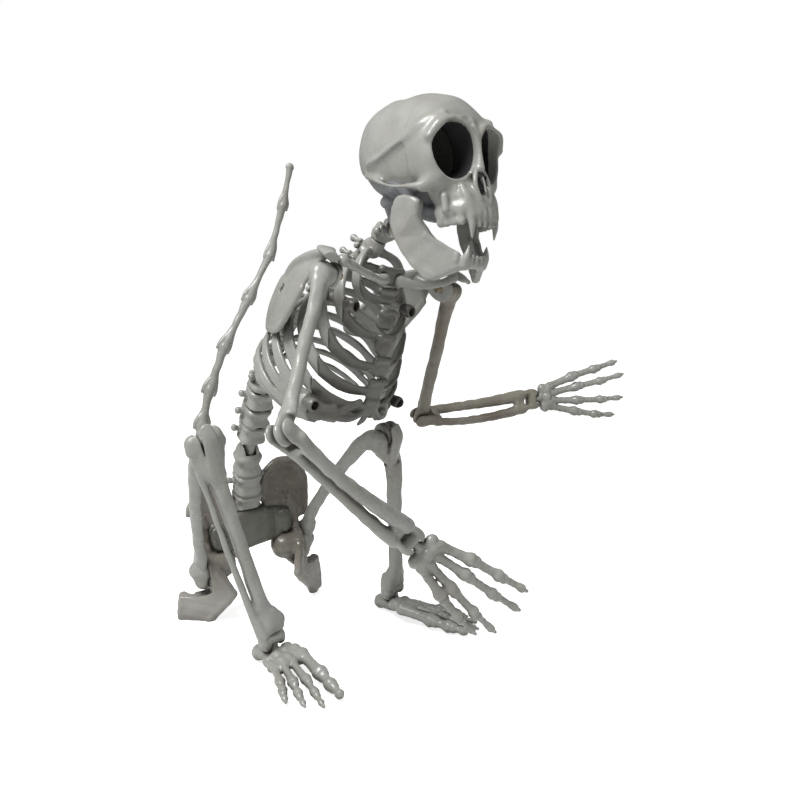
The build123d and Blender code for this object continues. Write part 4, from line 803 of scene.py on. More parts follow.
def shape_forearm(side, name, body):
    """Two bones side by side, joined at the elbow's fork and the wrist's barrel."""
    elbow, axis = hinge[body.replace("forearm", "elbow_bend")]
    wrist, hand_side = hinge[body.replace("forearm", "wrist_bend")]
    place = Place(elbow, axis, wrist - elbow)
    long = float(np.linalg.norm(wrist - elbow))
    turn = place.rows @ hand_side
    clay = Clay(place, (-18, -18, -14), (18, 18, long + 13), MEDIUM)
    hub = np.array([0, 0, long])
    sag = 12 if side > 0 else -20
    for way in SIDES:
        start = np.array([6.3 * way, 0, 0])
        end = hub + turn * 7.0 * way
        thick = 1.1 if way > 0 else 0.9

        def along(share, bow=0.0):
            return start + (end - start) * share + np.array([0, bow + sag * share * (1 - share), 0])

        shaft = [along(0.06), along(0.16, 1.4 * way), along(0.35, 2.4 * way), along(0.6, 1.8 * way),
                 along(0.8, 0.6 * way), along(0.9)]
        clay.rod(shaft, np.array([4.3, 4.0, 4.0, 4.5, 5.2, 5.2]) * thick, blend=1, curve=5)
        clay.rod([start - (0, 0, 2.0), start + (0, 0, 3), start + (0, 0, 13)], [6.4, 6.6, 4.2], blend=2.2,
                 flat=((1, 0, 0), 2.6))
        clay.rod([end - (0, 0, 14), end - (0, 0, 3), end + (0, 0, 1)], [4.8, 5.6, 5.2], blend=2.2,
                 flat=(turn, 1.9))
        clay.rod([along(0.2, 1.6 * way + 2.2), along(0.5, 2.2 * way + 2.0), along(0.75, 2.0)],
                 [1.0, 1.2, 0.9], blend=2.5, curve=4)
    clay.rod([(-5, 0, 15), (5, 0, 15)], 4.0, blend=2.4, flat=((0, 0, 1), 0.8))
    for back in (20, 15):
        bridge = hub - (0, 0, back)
        clay.rod([bridge - turn * 5, bridge + turn * 5], 3.2, blend=2.4)
    # a barrel closes the wrist, hollow round the hand's tongue; the elbow's tongue has an open slot
    clay.rod([hub - turn * 3, hub + turn * 3], 7.2)
    x, _, z = clay.xyz()
    clay.keep(np.where(z < 12.3, 4.12 - np.abs(x), -FAR), 0.5)
    clay.tongue_room(hub, turn, 4.12, 6.1, hand_reach(np.array([0, 0, 1.0]), turn), 1.4)
    clay.roughen(12, 0.3, 33)
    clay.mesh(name, body, [name.replace("_bones", "")], ARM if side < 0 else BONE)


def shape_hand(side, name, body):
    """Wrist stones in two rows and four jointed fingers that taper to a point."""
    wrist, hand_side = hinge[body.replace("hand", "wrist_bend")]
    elbow = hinge[body.replace("hand", "elbow_bend")][0]
    place = Place(wrist, hand_side, hand_reach(unit(wrist - elbow), hand_side))
    clay = Clay(place, (-36, -16, -9), (34, 12, 112), FINE)
    clay.rod([(-0.01, 0, 0), (0.01, 0, 7)], [5.3, 4.6], blend=1, flat=((1, 0, 0), 1.35))
    # wrist stones in two rows: centre and radius
    stones = [(-8.6, 0, 11.8, 5.6), (-3.2, -1.2, 11.2, 5.2), (3.0, -1.0, 11.2, 5.2), (8.6, 0, 12.2, 5.2),
              (-9.6, -0.6, 19.5, 4.5), (-4.6, -1.6, 18.6, 4.3), (0.8, -1.8, 18.2, 4.4),
              (6.0, -1.2, 18.8, 4.5), (10.4, 0, 20, 4.0), (0, 2.0, 15, 5.0), (-6, 2, 16, 4.4),
              (6, 2, 16, 4.4)]
    for x, y, z, r in stones:
        clay.ball((x, y, z), (r, r * 0.84, r * 0.94), blend=1.3)
    # each finger's joints: distance ahead, place across the hand, rise of its back
    tuck = 2.4 if side > 0 else 0.0
    rows = [[(17, 9, 0), (48, 17, 1), (75, 21, 3), (99, 25, 7)],
            [(20, 3, 0), (52, 6, 1), (80, 8, 3), (104, 11, 7)],
            [(20, -4, 0), (50, -8, 1), (77, -11, 3), (99, -12, 7)],
            [(17, -9, 0), (46, -19 + tuck, 1), (68, -25 + tuck * 2, 3), (87, -28 + tuck * 2.6, 7)]]
    for number, row in enumerate(rows):
        points = [np.array([up, -rise, ahead], float) for ahead, up, rise in row]
        for n, (a, b) in enumerate(zip(points[:-1], points[1:])):
            d = unit(b - a)
            size = (3.9, 3.4, 2.8)[n] * (1.08 if number == 0 else 1.0)
            arch = np.array([0, -1.4 if n == 0 else -0.8, 0])
            clay.rod([a + d * 1.5, a + (b - a) * 0.3 + arch, a + (b - a) * 0.65 + arch, b - d * 3.2],
                     [size * 1.05, size * 0.84, size * 0.84, size * 1.05], blend=1.2, curve=4)
            if n < 2:
                clay.ball(b - d * 2.6, size * 1.2, blend=1.6)
                clay.ball(b + d * 2.2, size * 1.0, blend=0.6)
        clay.rod([b - d * 6, b + d * 2 + (0, 0.8, 0)], [2.5, 1.2])
    # only the tongue stays inside the forearm's fork
    clay.keep_tongue((0, 0, 0), (1, 0, 0), 7.6, 3.75)
    clay.roughen(7, 0.25, 35)
    clay.mesh(name, body, [name.replace("_bones", "")], BONE)


# ---- legs ------------------------------------------------------------------------------------
ACROSS = unit(hinge["left_hip_swing"][1])
PELVIS_UP = unit(np.cross(ACROSS, (0, 1, 0)))
AXLE = (hinge["right_hip_swing"][0] + hinge["left_hip_swing"][0]) / 2
AXLE_Y, AXLE_Z = 14, 46    # the hip axle in the pelvis's own frame
PELVIS = Place(AXLE - np.array([0, AXLE_Y, 0]) - PELVIS_UP * AXLE_Z, ACROSS, PELVIS_UP)


def shape_femur(side, name, body):
    """Thigh bone: hub in the hip's cup, bowed shaft and the knee's tongue."""
    word = body.split("_")[0]
    outward = ACROSS * side
    knee, axis = hinge[word + "_knee_bend"]
    top = PELVIS.to_row((side * 50, AXLE_Y, 50 if side < 0 else 54))
    place = Place(top, axis, knee - top)
    long = float(np.linalg.norm(knee - top))
    hub = place.to_local(AXLE)
    press = place.rows @ outward
    bow, lean, fat = (9.0, 0.0, 1.0) if side > 0 else (-4.0, 4.0, 0.84)
    clay = Clay(place, (-30, -22, -24), (30, 22, long + 13), MEDIUM)
    clay.tunnel(2, [(-8, 0, 0, 4.0, 5.0), (-2, 0, 0, 6.0, 8.0), (6, 0, 0, 5.8, 8.2), (16, 0, 0, 5.2, 6.6),
                    (34, lean * 0.4, bow * 0.5, 4.8, 5.4), (long * 0.5, lean, bow, 5.0, 5.4),
                    (long - 34, lean, bow * 1.05, 5.4, 6.6), (long - 22, 0, bow * 0.75, 5.6, 8.2 * fat),
                    (long - 9, 0, bow * 0.3, 5.3, 9.0 * fat), (long - 6, 0, 0, 5.2, 8.8 * fat)], blend=0)
    clay.rod([hub + press * 38, hub + press * 48.4], [10.6, 10.8], blend=0)
    clay.rod([hub + press * 48, hub + press * 54], [8.8, 7.4], blend=2.5)
    clay.ball(hub + press * 56, (4.6, 5.6, 5.6), blend=3)
    down = place.rows @ (0, 0, -1)
    clay.rod([hub + press * 50.5, hub + press * 50 + down * 11], [6.4, 7], blend=4)
    clay.rod([(0, -6, -3), (0.5, -6.6, 8), (0.5, -4.5, 24)], [3.0, 2.6, 0.9], blend=3, curve=4)
    clay.rod([(-0.01, 0, long - 4), (0.01, 0, long)], [9.0 * fat, 9.8 * fat], blend=2.5,
             flat=((1, 0, 0), 1.85 * fat))
    for way in SIDES:
        clay.rod(mirror(way, [(2.9, 3.4 * fat, long - 12), (3.0, 3.6 * fat, long + 4)]), [2.6, 3.2],
                 blend=2.4)
    x, _, z = clay.xyz()
    clay.keep(np.where(z > long - 26, np.abs(x) - 5.35, -FAR), 0.6)
    deep, radial = clay.about(hub, press)
    clay.keep(37.9 - deep, 0.3)
    clay.keep(np.where(deep < 48.5, radial - 10.85, -FAR), 0.3)
    clay.roughen(14, 0.3, 41)
    clay.mesh(name, body, [name.replace("_bone", "")], BONE)


def shape_shin(side, name, body):
    """Shin bone with its thin companion, a cover over the knee and the ankle's barrel."""
    word = body.split("_")[0]
    knee, axis = hinge[word + "_knee_bend"]
    ankle, ankle_axis = hinge[word + "_ankle_bend"]
    place = Place(knee, axis, ankle - knee)
    long = float(np.linalg.norm(ankle - knee))
    turn = place.rows @ ankle_axis
    shift, lean, flare = (3.4, 5.5, 1.6) if side > 0 else (1.2, 0.0, -3.0)
    clay = Clay(place, (-22, -18, -15), (22, 18, long + 13), MEDIUM)
    clay.tunnel(2, [(-6.5, 0, 0, 11.2, 5.2), (-1, 0, 0, 13.2, 8.6), (6, 0, 0, 13.4, 8.8),
                    (14, 0, side, 12.0, 7.6), (26, shift, side * 1.6 + lean * 0.5, 8.8, 6.4),
                    (40, shift - 0.8, side * 1.2 + lean, 6.4, 5.8),
                    (long * 0.5, shift - 1.6, lean, 5.4, 5.4), (long - 34, -0.6, lean, 6.0, 5.8),
                    (long - 22, flare, lean * 0.5, 8.6, 6.8), (long - 14, flare * 1.2, 0, 12.0, 7.6),
                    (long - 7, flare * 0.6, 0, 11.6, 7.2)], blend=0, power=2.3)
    clay.rod([(-10.5, 0, -1), (-11.5, 0, 5)], [4.6, 5.2], blend=3)
    clay.rod([(10.5, 0, -1), (11, 0, 5)], [4.6, 5.0], blend=3)
    clay.rod([(0, side * 5, 12), (-1, side * 5.2, 24), (-1.6, side * 3.6, 44), (-2.2, side * 2.4, 70)],
             [2.4, 2.4, 1.8, 1.2], blend=3, curve=4)
    clay.rod([(10, -side, 12), (11.4, 0, 24), (11, 0, 40), (10.6, 0.8, long * 0.45), (9.8, 0.4, long * 0.7),
              (8.4, 0, long - 24), (7.0, 0, long - 11)], [3.4, 2.9, 2.4, 2.4, 2.7, 3.5, 4.2], blend=1.8,
             curve=5)
    middle = np.array([0, 0, long])
    for way in SIDES:
        end = middle + turn * 7.4 * way
        clay.rod([end - (0, 0, 18), end - (0, 0, 6), end + (0, 0, 1.5)], [4.6, 6.4, 6.0], blend=3,
                 flat=(turn, 1.9))
    x, _, z = clay.xyz()
    clay.keep(np.where(z < 26.5, 5.72 - np.abs(x), -FAR), 0.6)
    thigh = place.to_local(hinge[word + "_hip_swing"][0])
    front = -1 if thigh[1] > 0 else 1
    clay.rod([(0, front * 11.4, -8.5), (0, front * 13.4, -1), (0, front * 11.6, 6), (0, front * 9.0, 15),
              (0, front * 6.8, 27)], [5.4, 6.4, 6.6, 6.4, 6.2], curve=4, flat=((0, 1, 0), 2.4))
    # a barrel closes the ankle, hollow round the foot's tongue and open downwards
    clay.rod([middle - turn * 4, middle + turn * 4], 7.6)
    clay.tongue_room(middle, turn, 4.72, 6.3, place.rows @ (0, 0, -1), 1.4)
    clay.roughen(14, 0.3, 43)
    clay.mesh(name, body, [name.replace("_bones", "")], BONE)


TOES = {"right": (13, -87), "left": (27, -84)}    # which way the feet point on the ground


def shape_foot(side, name, body):
    """Heel, instep stones and four toes, the first one the thickest."""
    word = body.split("_")[0]
    ankle, ankle_axis = hinge[word + "_ankle_bend"]
    ahead = unit((*TOES[word], 0))
    out = np.array([ahead[1], -ahead[0], 0]) * (1 if side < 0 else -1)
    place = Place((ankle[0], ankle[1], 0), ahead, (0, 0, 1))
    flip = 1 if place.rows[1] @ out > 0 else -1
    high = float(ankle[2])
    clay = Clay(place, (-26, -20 if flip > 0 else -40, -3), (96, 40 if flip > 0 else 20, 36), FINE)

    def at(forward, outwards, height):
        return np.array([forward, outwards * flip, height], float)

    turn = place.rows @ ankle_axis
    base = at(0, 0, high)
    clay.rod([base - (0, 0, 0.01), base - (0, 0, 8)], [5.7, 6.2], blend=0, flat=(turn, 1.38))
    clay.rod([at(-15, 1.6, 7), at(-10, 1.2, 8.4), at(0, 0, 9), at(8, -1, 10)], [5.6, 6.6, 6.8, 6.4],
             blend=3, curve=4, flat=((0, 0, 1), 1.05))
    clay.ball(at(-15, 2.4, 7.4), (5.4, 6.2, 6.4), blend=3)
    stones = [(10, -5, 12.6, 6.6), (12, 3, 12, 6.4), (9, 9, 9, 5.6), (18, -7, 12.5, 5.6),
              (20, -1, 12.6, 5.4), (20, 5, 11.6, 5.2), (17, 11, 8.4, 5.2), (25, -8.4, 11.6, 5.2),
              (26, -2, 11.6, 4.8), (26, 4, 11, 4.7), (25, 10, 9, 4.6), (6, -10, 14, 5.8),
              (14, -12, 14.4, 6.0), (22, -13.5, 13.4, 5.6)]
    for x, y, z, r in stones:
        clay.ball(at(x, y, z), (r, r * 0.9, r * 0.86), blend=1.8)
    toes = [[at(22, -13, 13), at(53, -9, 8.4), at(70, -6, 6.2), at(84, -3.4, 4.6)],
            [at(24, -1, 12), at(54, 5, 8.2), at(70, 9, 5.2), at(83, 12.6, 3.0)],
            [at(24, 6, 11), at(50, 14.6, 7.8), at(63, 19, 5.0), at(74, 22.6, 3.0)],
            [at(22, 12, 9), at(41, 20.6, 7.0), at(51, 25, 4.8), at(60, 29, 3.0)]]
    clay.ball(at(36, 2, -4), (24, 32, 9), blend=3, carve=True)
    for number, row in enumerate(toes):
        fat = 1.55 if number == 0 else 1.05
        for n, (a, b) in enumerate(zip(row[:-1], row[1:])):
            d = unit(b - a)
            size = (3.3, 2.9, 2.3)[n] * fat
            clay.rod([a, a + (b - a) * 0.35, a + (b - a) * 0.65, b - d * 2.5],
                     [size * 1.1, size * 0.84, size * 0.86, size * 1.05], blend=1.2, curve=4)
            if n < 2:
                clay.ball(b - d * 2.4, size * 1.16, blend=1.6)
                clay.ball(b + d * 2.0, size * 1.0, blend=0.5)
        clay.rod([b - d * 3, b + d * (2 if number else 0)], [2.0 * fat, 1.1 * fat], blend=1.0)
    clay.keep(-clay.xyz()[2], 0.4)
    clay.keep_tongue(base, turn, 8.9, 4.3)
    clay.roughen(8, 0.25, 45)
    clay.mesh(name, body, [name.replace("_bones", "")], BONE)


# ---- pelvis ----------------------------------------------------------------------------------
def shape_sacrum():
    """The dark block between the hip bones, with its row of holes and the tail's root."""
    clay = Clay(PELVIS, (-46, -2, 36), (46, 50, 96), MEDIUM)
    outline = [(55, -38), (64, -40.5), (82, -40.5), (86, -20), (89.6, -14), (89.6, 14), (86, 20),
               (82, 40.5), (64, 40.5), (55, 38), (54, 20), (53, -20)]

    def middle(z, x):
        return 17 + 0.0022 * x * x

    def half(z, x):
        return 9.6 - 0.0018 * x * x

    clay.plate(1, outline, middle, half, blend=1, soft=6.5, curve=3)
    for side in SIDES:
        clay.rod(mirror(side, [(22, 8.2, 57), (25.5, 7.4, 70), (22, 8.6, 85)]), [1.1, 1.3, 1.0], blend=1.4,
                 carve=True, curve=6)
        clay.ball((side * 33, 9, 71), (7, 3.4, 11), blend=4)
        for z, x in ((82, 9.5), (73.5, 9), (65.5, 8.2), (58.5, 7)):
            clay.ball((side * x, 27.2, z), (2.0, 3.4, 1.8), blend=1.2, carve=True)
            clay.ball((side * (x + 6.5), 26.4, z - 1), (2.6, 2.6, 3.0))
    clay.rod([(0, 24, 87), (0, 27, 74), (0, 28, 60), (-3, 29, 54)], [3.2, 3.0, 3.0, 4], blend=3, curve=4)
    for z in (84, 75, 66):
        clay.ball((0, 28.4, z), (2.6, 3.2, 3.4))
    clay.plate(1, [(40.8, -11.5), (46, -12.3), (56, -12.3), (60, -9), (60, -3), (56, 0.3), (46, 0.3),
                   (40.8, -0.5)], 35, 11, blend=3, soft=2.4, curve=2)
    x, y, z = clay.xyz()
    tail = np.maximum(np.maximum(np.abs(x + 6) - 3.75, 31.2 - y), z - 59)
    clay.keep(-tail, 0.5)
    # room for the thigh bones' hubs
    hub = 11.5 - np.hypot(y - AXLE_Y, z - AXLE_Z)
    clay.keep(np.where(np.abs(x) > 37.0, hub, -FAR), 0.4)
    clay.keep(np.abs(x) - 40.05, 0.4)
    clay.keep(z - 89.7, 0.4)
    clay.roughen(13, 0.35, 51)
    clay.mesh("sacrum_form", "pelvis", ["sacrum_block"], SACRUM)


def shape_hip_bone(side, name):
    """Wing, cup for the thigh bone and the flared pad that the figure sits on."""
    clay = Clay(PELVIS, (min(side * 13, side * 84), -32, -8), (max(side * 13, side * 84), 40, 130),
                MEDIUM + 0.1)
    x, y, z = clay.xyz()
    # wing: a thin shell hollowed on the front, with a thick crest and outer border
    wing = [(46, 40.5), (64, 40.4), (80, 40.3), (79, 30), (83, 19), (92, 15.4), (108, 16), (120, 24),
            (126.5, 36), (125, 49), (117, 58), (103, 62), (84, 61), (64, 55.5), (46, 49.5)]

    def width(place):
        """The right wing is the narrower one."""
        return place if side > 0 or place < 40 else 40 + 0.32 * (place - 40)

    def dish(height, place):
        return 16.6 + 1.9 * np.exp(-(((side * place - 38) / 15) ** 2 + ((height - 99) / 22) ** 2))

    clay.plate(1, [(z_, side * width(x_)) for z_, x_ in wing], dish, 2.3, soft=1.6, curve=3)
    crest = [(16.6, 15.6, 95), (16.4, 15.6, 107), (24, 15.4, 119), (36, 15.6, 125), (48, 16, 123.4),
             (57, 16.4, 115.6)]
    border = [(57, 16.4, 115.6), (60.6, 16.4, 103), (59.6, 16.6, 86), (54.4, 16.6, 66), (48, 15.6, 50)]
    for row, radii in ((crest, [2.6, 3.0, 3.6, 3.8, 3.6, 3.2]), (border, [3.2, 2.7, 2.7, 3.4, 5])):
        clay.rod([(side * width(x_), y_, z_) for x_, y_, z_ in row], radii, blend=3, curve=5)
    clay.rod(mirror(side, [(40.9, 16.2, 86), (41.4, 16, 70), (43, 15.5, 56)]), [2.6, 3.4, 5], blend=3,
             curve=5)
    clay.rod(mirror(side, [(43, 15, 92), (47, 14.6, 78), (46, 15, 62)]), [1.6, 2.3, 4.6], blend=5, curve=5)
    # branch, cup and the flared sitting pad
    branch = [(66, 41), (54, 40.4), (44.5, 26), (38, 26.5), (27, 35), (13, 49), (13, 53), (26, 59),
              (46, 50), (66, 50)]
    clay.plate(1, [(z_, side * x_) for z_, x_ in branch], 15.5, 5.9, blend=3, soft=3.4, curve=3)
    flare = math.radians(40)
    pad = Place((side * 56, 13, 0), (side * math.cos(flare), math.sin(flare), 0), (0, 0, 1))
    outward = 1.0 if side < 0 else 0.62
    outline = [(25, 17 * outward), (5, 21.6 * outward), (-6, 18.6 * outward), (-13, 14 * outward),
               (-13, -3), (0, -8), (21, -31), (27, -31), (46, -21.4), (53, -19), (53, -2),
               (44, 5 * outward)]

    def bulge(v, u):
        return side * (0.0016 * (u * u + (v - 20) ** 2) - 0.6)

    clay.plate(1, outline, bulge, 3.2, blend=3, soft=2.4, curve=3, turned=pad)
    inner = [(46, -20.5), (27, -29.5), (21, -29.5), (0, -7), (-8, -3)]
    outer = [(v, u * outward) for v, u in ((40, 6), (25, 15.4), (5, 20), (-6, 17.4))]
    for edge, radii in ((inner, [3.0, 3.0, 3.2, 3.4, 3.4]), (outer, 3.2)):
        clay.rod([pad.to_row((u, 0.4 * side, v)) for v, u in edge], radii, blend=3, curve=4)
    hub = np.array([0, AXLE_Y, AXLE_Z])
    press = np.array([side, 0, 0])
    clay.rod([hub + press * 31, hub + press * 46], [12.6, 13.4], blend=3)
    clay.rod([hub + press * 44.4, hub + press * 46.2], 13.8, blend=1.2)
    clay.rod([hub + press * 37.7, hub + press * 62], 11.35, blend=0.6, carve=True)
    for x_, z_ in ((31, 99), (38, 95)):
        clay.rod(mirror(side, [(x_, 8, z_), (x_, 15.8, z_)]), 1.2, blend=0.5, carve=True)
    clay.ball((side * 40, 13.6, 116), (3.4, 1.2, 3.4), blend=0.8, carve=True)
    # room for the thigh bone, and flat faces against the sacrum and the ground
    radial = np.hypot(y - AXLE_Y, z - AXLE_Z)
    clay.keep(-np.maximum(radial - 22.8, 47.4 - side * x), 0.8)
    clay.keep(-PELVIS.origin[2] - clay.along(PELVIS.rows[:, 2]), 0.4)
    clay.roughen(13, 0.35, 53)
    # the hip bones' material carries painted shade on the wings and painted light on the low pads
    clay.mesh(name, "pelvis", [name.replace("_form", "")], PELVIS_PAINTED_SHADE_AND_LIGHT)


# ---- loin, neck and tail ---------------------------------------------------------------------
def loin_bone(clay, height, wide, deep, tall, wings=True):
    """One boxy back bone of the loin: waisted body with flanged ends, side knobs and a blade behind."""
    waists = [(-0.5, 0.84), (-0.36, 1), (0, 0.84), (0.36, 1), (0.5, 0.84)]
    clay.tunnel(2, [(height + tall * h, 0, 0, wide * share, deep * share) for h, share in waists],
                blend=1.0, power=3.4, steps=4)
    if wings:
        for way in SIDES:
            start = (way * wide * 0.6, deep * 0.3, height + 1)
            end = (way * (wide + 3.6), deep * 0.4, height + 2)
            clay.rod([start, end], [3.0, 2.3], blend=2)
            clay.ball((way * (wide + 3.8), deep * 0.42, height + 2.2), (2.3, 2.8, 3.0), blend=1.4)
            clay.ball((way * wide * 0.45, deep * 1.05, height + tall * 0.3), (2.8, 3.2, 3.6), blend=1.6)
        clay.rod([(0, deep * 0.6, height), (0, deep + 5.5, height - 1), (0, deep + 8, height - 3.4)],
                 [3.4, 2.6, 2.4], blend=2, flat=((1, 0, 0), 1.3))


def shape_loin():
    """The loin's back bones below and above the waist hinge."""
    waist, axis = hinge["waist_bend"]
    foot = PELVIS.to_row((2, 20.6, 87))
    place = Place(foot, axis, waist - foot)
    long = float(np.linalg.norm(waist - foot))
    clay = Clay(place, (-24, -22, -8), (24, 28, long + 14), MEDIUM)
    loin_bone(clay, long * 0.16, 12.6, 11.8, long * 0.33)
    loin_bone(clay, long * 0.49, 12.2, 11.6, long * 0.33)
    loin_bone(clay, long * 0.82, 11.6, 11.2, long * 0.33, wings=False)
    clay.rod([(-0.01, 0, long - 5), (0.01, 0, long)], [11.2, 10.6], blend=2, flat=((1, 0, 0), 1.02))
    clay.tongue_room((0, 0, long), (1, 0, 0), 4.55, 8.6, (0, 0, 1), 1.0)
    for way in SIDES:
        clay.rod(mirror(way, [(12.4, 0, long), (15, 0, long)]), 2.8, blend=0.3, carve=True)
    clay.keep(90.1 - PELVIS.to_local(foot)[2] - clay.along(place.rows @ PELVIS.rows[2]), 0.3)
    clay.roughen(10, 0.35, 61)
    clay.mesh("loin_low", "pelvis", ["lumbar_lower"], BONE)

    foot = TORSO.to_row((0, -53, -137))
    place = Place(waist, axis, foot - waist)
    long = float(np.linalg.norm(foot - waist))
    clay = Clay(place, (-24, -24, -12), (24, 28, long + 12), MEDIUM)
    clay.rod([(-0.01, 0, 0), (0.01, 0, 9)], [7.8, 8.6], blend=1, flat=((1, 0, 0), 1.9))
    for share in (0.3, 0.54, 0.78):
        loin_bone(clay, long * share, 11.6, 11.0, long * 0.23)
    loin_bone(clay, long * 1.02, 11.2, 10.8, long * 0.23, wings=False)
    x, _, z = clay.xyz()
    clay.keep(np.where(z < 12.4, np.abs(x) - 4.15, -FAR), 0.4)
    clay.keep(clay.along(place.rows @ TORSO.rows[2]) + TORSO.to_local(waist)[2] + 141.1, 0.3)
    clay.roughen(10, 0.35, 62)
    clay.mesh("loin_high", "torso", ["lumbar_upper"], BONE)


def shape_neck():
    """Three back bones between the ribcage and the skull's fork."""
    nod = TORSO.to_local(hinge["head_nod"][0])
    clay = Clay(TORSO, (-22, -36, 14), (22, 24, nod[2] + 14), FINE)
    clay.rod([(0, -12, 20.9), (0, -12, 25.4)], [6.6, 6.2], blend=0.5)
    clay.rod([(0, -12.6, 25), (0, (nod[1] - 12) / 2, (nod[2] + 25) / 2), nod], [7.4, 6.2, 6.0],
             flat=((1, 0, 0), 1.1))
    press = TORSO.rows @ hinge["head_nod"][1]
    clay.rod([nod - (0, 0.4, 1), nod], [6.6, 6.7], blend=1, flat=(press, 1.7))
    foot = np.array([0, -12, 22])
    climb = unit(nod - foot)
    for share in (0.24, 0.56, 0.86):
        vertebra(clay, foot + (nod - foot) * share, 7.0, 5.0, 8.6, climb, (0, -climb[2], climb[1]))
    clay.keep_tongue(nod, press, 8.6, 3.95)
    clay.keep(20.75 - clay.xyz()[2], 0.2)
    clay.roughen(9, 0.3, 63)
    clay.mesh("neck_bone", "neck", ["neck_block"], BONE)


# the spot that the tail and the camera are placed from, below the waist on the ground
ZERO = hinge["waist_bend"][0] - np.array([-9, 0, 151])
# the tail's middle line, from ZERO: every second point is a knot between two bones
TAIL = [(-9, 53, 48), (-24, 62, 46), (-35, 68, 62), (-33, 70, 84), (-31, 70, 104), (-28, 70, 125),
        (-26, 70, 145), (-23, 70, 166), (-19, 70, 182), (-14, 70, 198), (-6, 70, 218), (2, 70, 237),
        (15, 70, 259), (28, 70, 281), (40, 70, 301), (51, 70, 321), (59, 70, 344), (66, 70, 367),
        (71, 70, 387), (75, 70, 405)]


def shape_tail():
    """A chain of waisted tail bones, thinner towards the tip."""
    path = np.array(TAIL, float) + ZERO
    place = Place(path[0], (1, 0, 0), (0, 0, 1))
    local = place.to_local(path)
    hub = place.to_local(hinge["tail_lift"][0])
    clay = Clay(place, (-42, -24, -16), (96, 32, 362), MEDIUM + 0.1)
    root = moved([(-6, 50, 44.6), (-9, 56, 48)], PELVIS, place)
    clay.rod([hub, *root, local[1]], [5.0, 4.2, 4.4, 5.2], curve=4, flat=((1, 0, 0), 1.2))
    clay.rod([hub - (0, 0.01, 0), hub], 6.0, blend=1, flat=((1, 0, 0), 1.9))
    knots = local[1::2]
    for n, (a, b) in enumerate(zip(knots[:-1], knots[1:])):
        share = n / (len(knots) - 1)
        fat = 8.2 * (1 - share) + 4.3 * share
        d = unit(b - a)
        away = unit(np.cross(d, (0, 1, 0)))
        step = float(np.linalg.norm(b - a))
        clay.rod([a - d * 1.5, a + d * step * 0.28, a + d * step * 0.62, b - d * 2.6],
                 [fat * 0.86, fat * 0.6, fat * 0.56, fat * 0.74], blend=0.8, curve=5)
        for way in SIDES:
            out = away * way * fat
            clay.rod([a + d * step * 0.34 + out * 0.3, a + d * 2.5 + out * 0.78, a - d * 4.6 + out * 1.02],
                     [fat * 0.24, fat * 0.4, fat * 0.2], blend=1.2, curve=3)
            clay.ball(b - d * 3.4 + out * 0.48, fat * 0.4, blend=1.2)
        clay.ball(a - d * 1.0, fat * 0.84, blend=1)
        clay.rod([a + d * step * 0.2 + (0, fat * 0.4, 0), a - d * 1.6 + (0, fat * 0.9, 0)],
                 [fat * 0.3, fat * 0.36], blend=1.4)
    clay.keep_tongue(hub, PELVIS.rows[0], 9.0, 3.4, blend=0.5)
    clay.roughen(10, 0.3, 71)
    clay.mesh("tail_bones", "tail", ["tail"], BONE)


# ---- pieces ----------------------------------------------------------------------------------
shape_cranium()
shape_skull_base()
shape_jaw()
shape_ribs(front=True)
shape_ribs(front=False)
shape_neck()
shape_loin()
shape_sacrum()
shape_tail()
for side, word in ((1, "right"), (-1, "left")):
    shape_scapula(side, word + "_scapula_blade")
    shape_clavicle(side, word + "_clavicle_bar")
    shape_humerus(side, word + "_humerus_bone", word + "_upper_arm")
    shape_forearm(side, word + "_forearm_bones", word + "_forearm")
    shape_hand(side, word + "_hand_bones", word + "_hand")
    shape_hip_bone(-side, word + "_hip_bone_form")
    shape_femur(-side, word + "_femur_bone", word + "_thigh")
    shape_shin(-side, word + "_shin_bones", word + "_shin")
    shape_foot(-side, word + "_foot_bones", word + "_foot")


# ---- stage, light and camera -----------------------------------------------------------------
def sky():
    """White where the camera sees it, a soft glow for the object."""
    world = bpy.data.worlds.new("sky")
    bpy.context.scene.world = world
    look = Nodes(world)
    look.tree.nodes.clear()
    path = look.add("LightPath", {}).outputs
    white = look.add("Background", {"Strength": 1.0, "Color": (1, 1, 1, 1)}).outputs[0]
    glow = look.add("Background", {"Strength": 0.28, "Color": (1.0, 0.99, 0.97, 1)}).outputs[0]
    seen = look.add("Math", {0: path["Is Camera Ray"], 1: path["Is Transmission Ray"]}, operation="MAXIMUM")
    pick = look.add("MixShader", {"Fac": seen.outputs[0], 1: glow, 2: white}).outputs[0]
    look.add("OutputWorld", {"Surface": pick})


def lamp(name, place, aim, size, power):
    data = bpy.data.lights.new(name, "AREA")
    data.shape, data.size, data.energy = "DISK", size, power
    obj = bpy.data.objects.new(name, data)
    bpy.context.scene.collection.objects.link(obj)
    obj.location = place
    obj.rotation_euler = (Vector(aim) - Vector(place)).to_track_quat("-Z", "Y").to_euler()


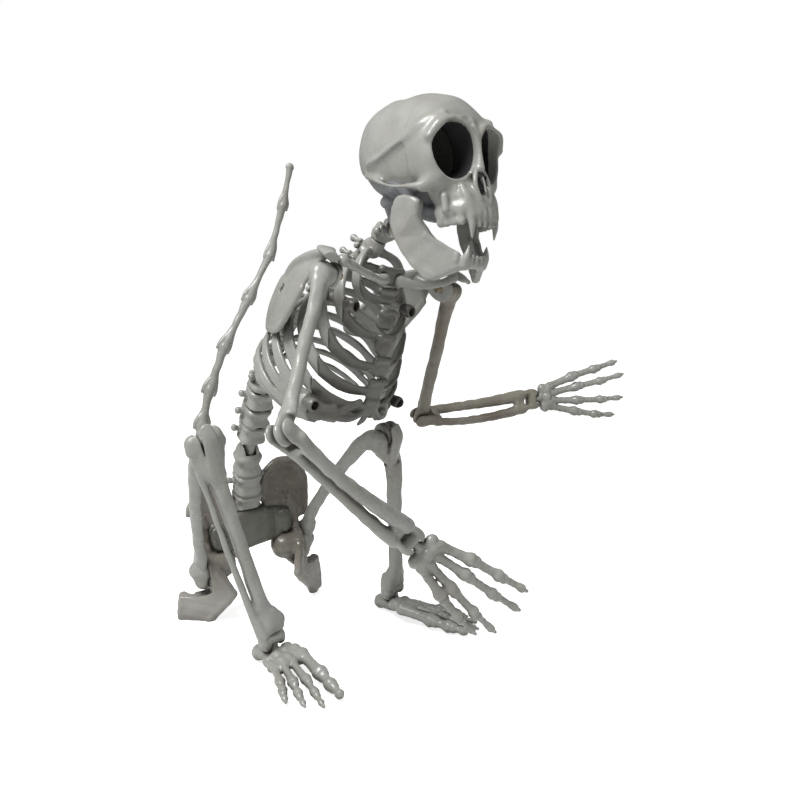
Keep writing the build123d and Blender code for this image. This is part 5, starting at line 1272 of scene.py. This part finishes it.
def floor():
    """A white floor that keeps the object's shadow."""
    half = 4.0
    data = bpy.data.meshes.new("floor")
    data.from_pydata([(-half, -half, 0), (half, -half, 0), (half, half, 0), (-half, half, 0)], [],
                     [(0, 1, 2, 3)])
    obj = bpy.data.objects.new("floor", data)
    bpy.context.scene.collection.objects.link(obj)
    obj.location.z = -0.0004
    mat = bpy.data.materials.new("floor_white")
    look = Nodes(mat)
    look.tree.nodes.clear()
    seen = look.add("LightPath", {}).outputs["Is Camera Ray"]
    lift = look.add("Math", {0: seen, 1: 0.76}, operation="MULTIPLY").outputs[0]
    paper = look.add("BsdfDiffuse", {"Color": (0.86, 0.86, 0.85, 1)}).outputs[0]
    glow = look.add("Emission", {"Strength": lift}).outputs[0]
    both = look.add("AddShader", {0: paper, 1: glow}).outputs[0]
    look.add("OutputMaterial", {"Surface": both})
    data.materials.append(mat)


def camera():
    """Looks at the figure from its right front, a little above; placed about the figure's middle."""
    data = bpy.data.cameras.new("camera")
    data.sensor_width = 36
    data.lens = 42.4008    # lens and place were solved from the joints' places in the picture
    data.clip_start = 0.05
    obj = bpy.data.objects.new("camera", data)
    bpy.context.scene.collection.objects.link(obj)
    turn, dip, tilt = math.radians(32.99), math.radians(9.37), math.radians(-0.36)
    ahead = Vector((math.sin(turn) * math.cos(dip), math.cos(turn) * math.cos(dip), -math.sin(dip)))
    side = Vector((math.cos(turn), -math.sin(turn), 0))
    up = side.cross(ahead)
    side, up = side * math.cos(tilt) + up * math.sin(tilt), up * math.cos(tilt) - side * math.sin(tilt)
    spot = Vector((ZERO + (-337.19, -752.17, 329.27)) / 1000)
    obj.matrix_world = Matrix.Translation(spot) @ Matrix((side, up, -ahead)).transposed().to_4x4()
    bpy.context.scene.camera = obj


sky()
lamp("key", (-0.9, -0.25, 1.5), (0, 0, 0.2), 0.75, 35)
lamp("fill", (1.4, -1.3, 0.9), (0, 0, 0.2), 1.0, 3.5)
floor()
camera()
bpy.context.scene.view_settings.view_transform = "Standard"
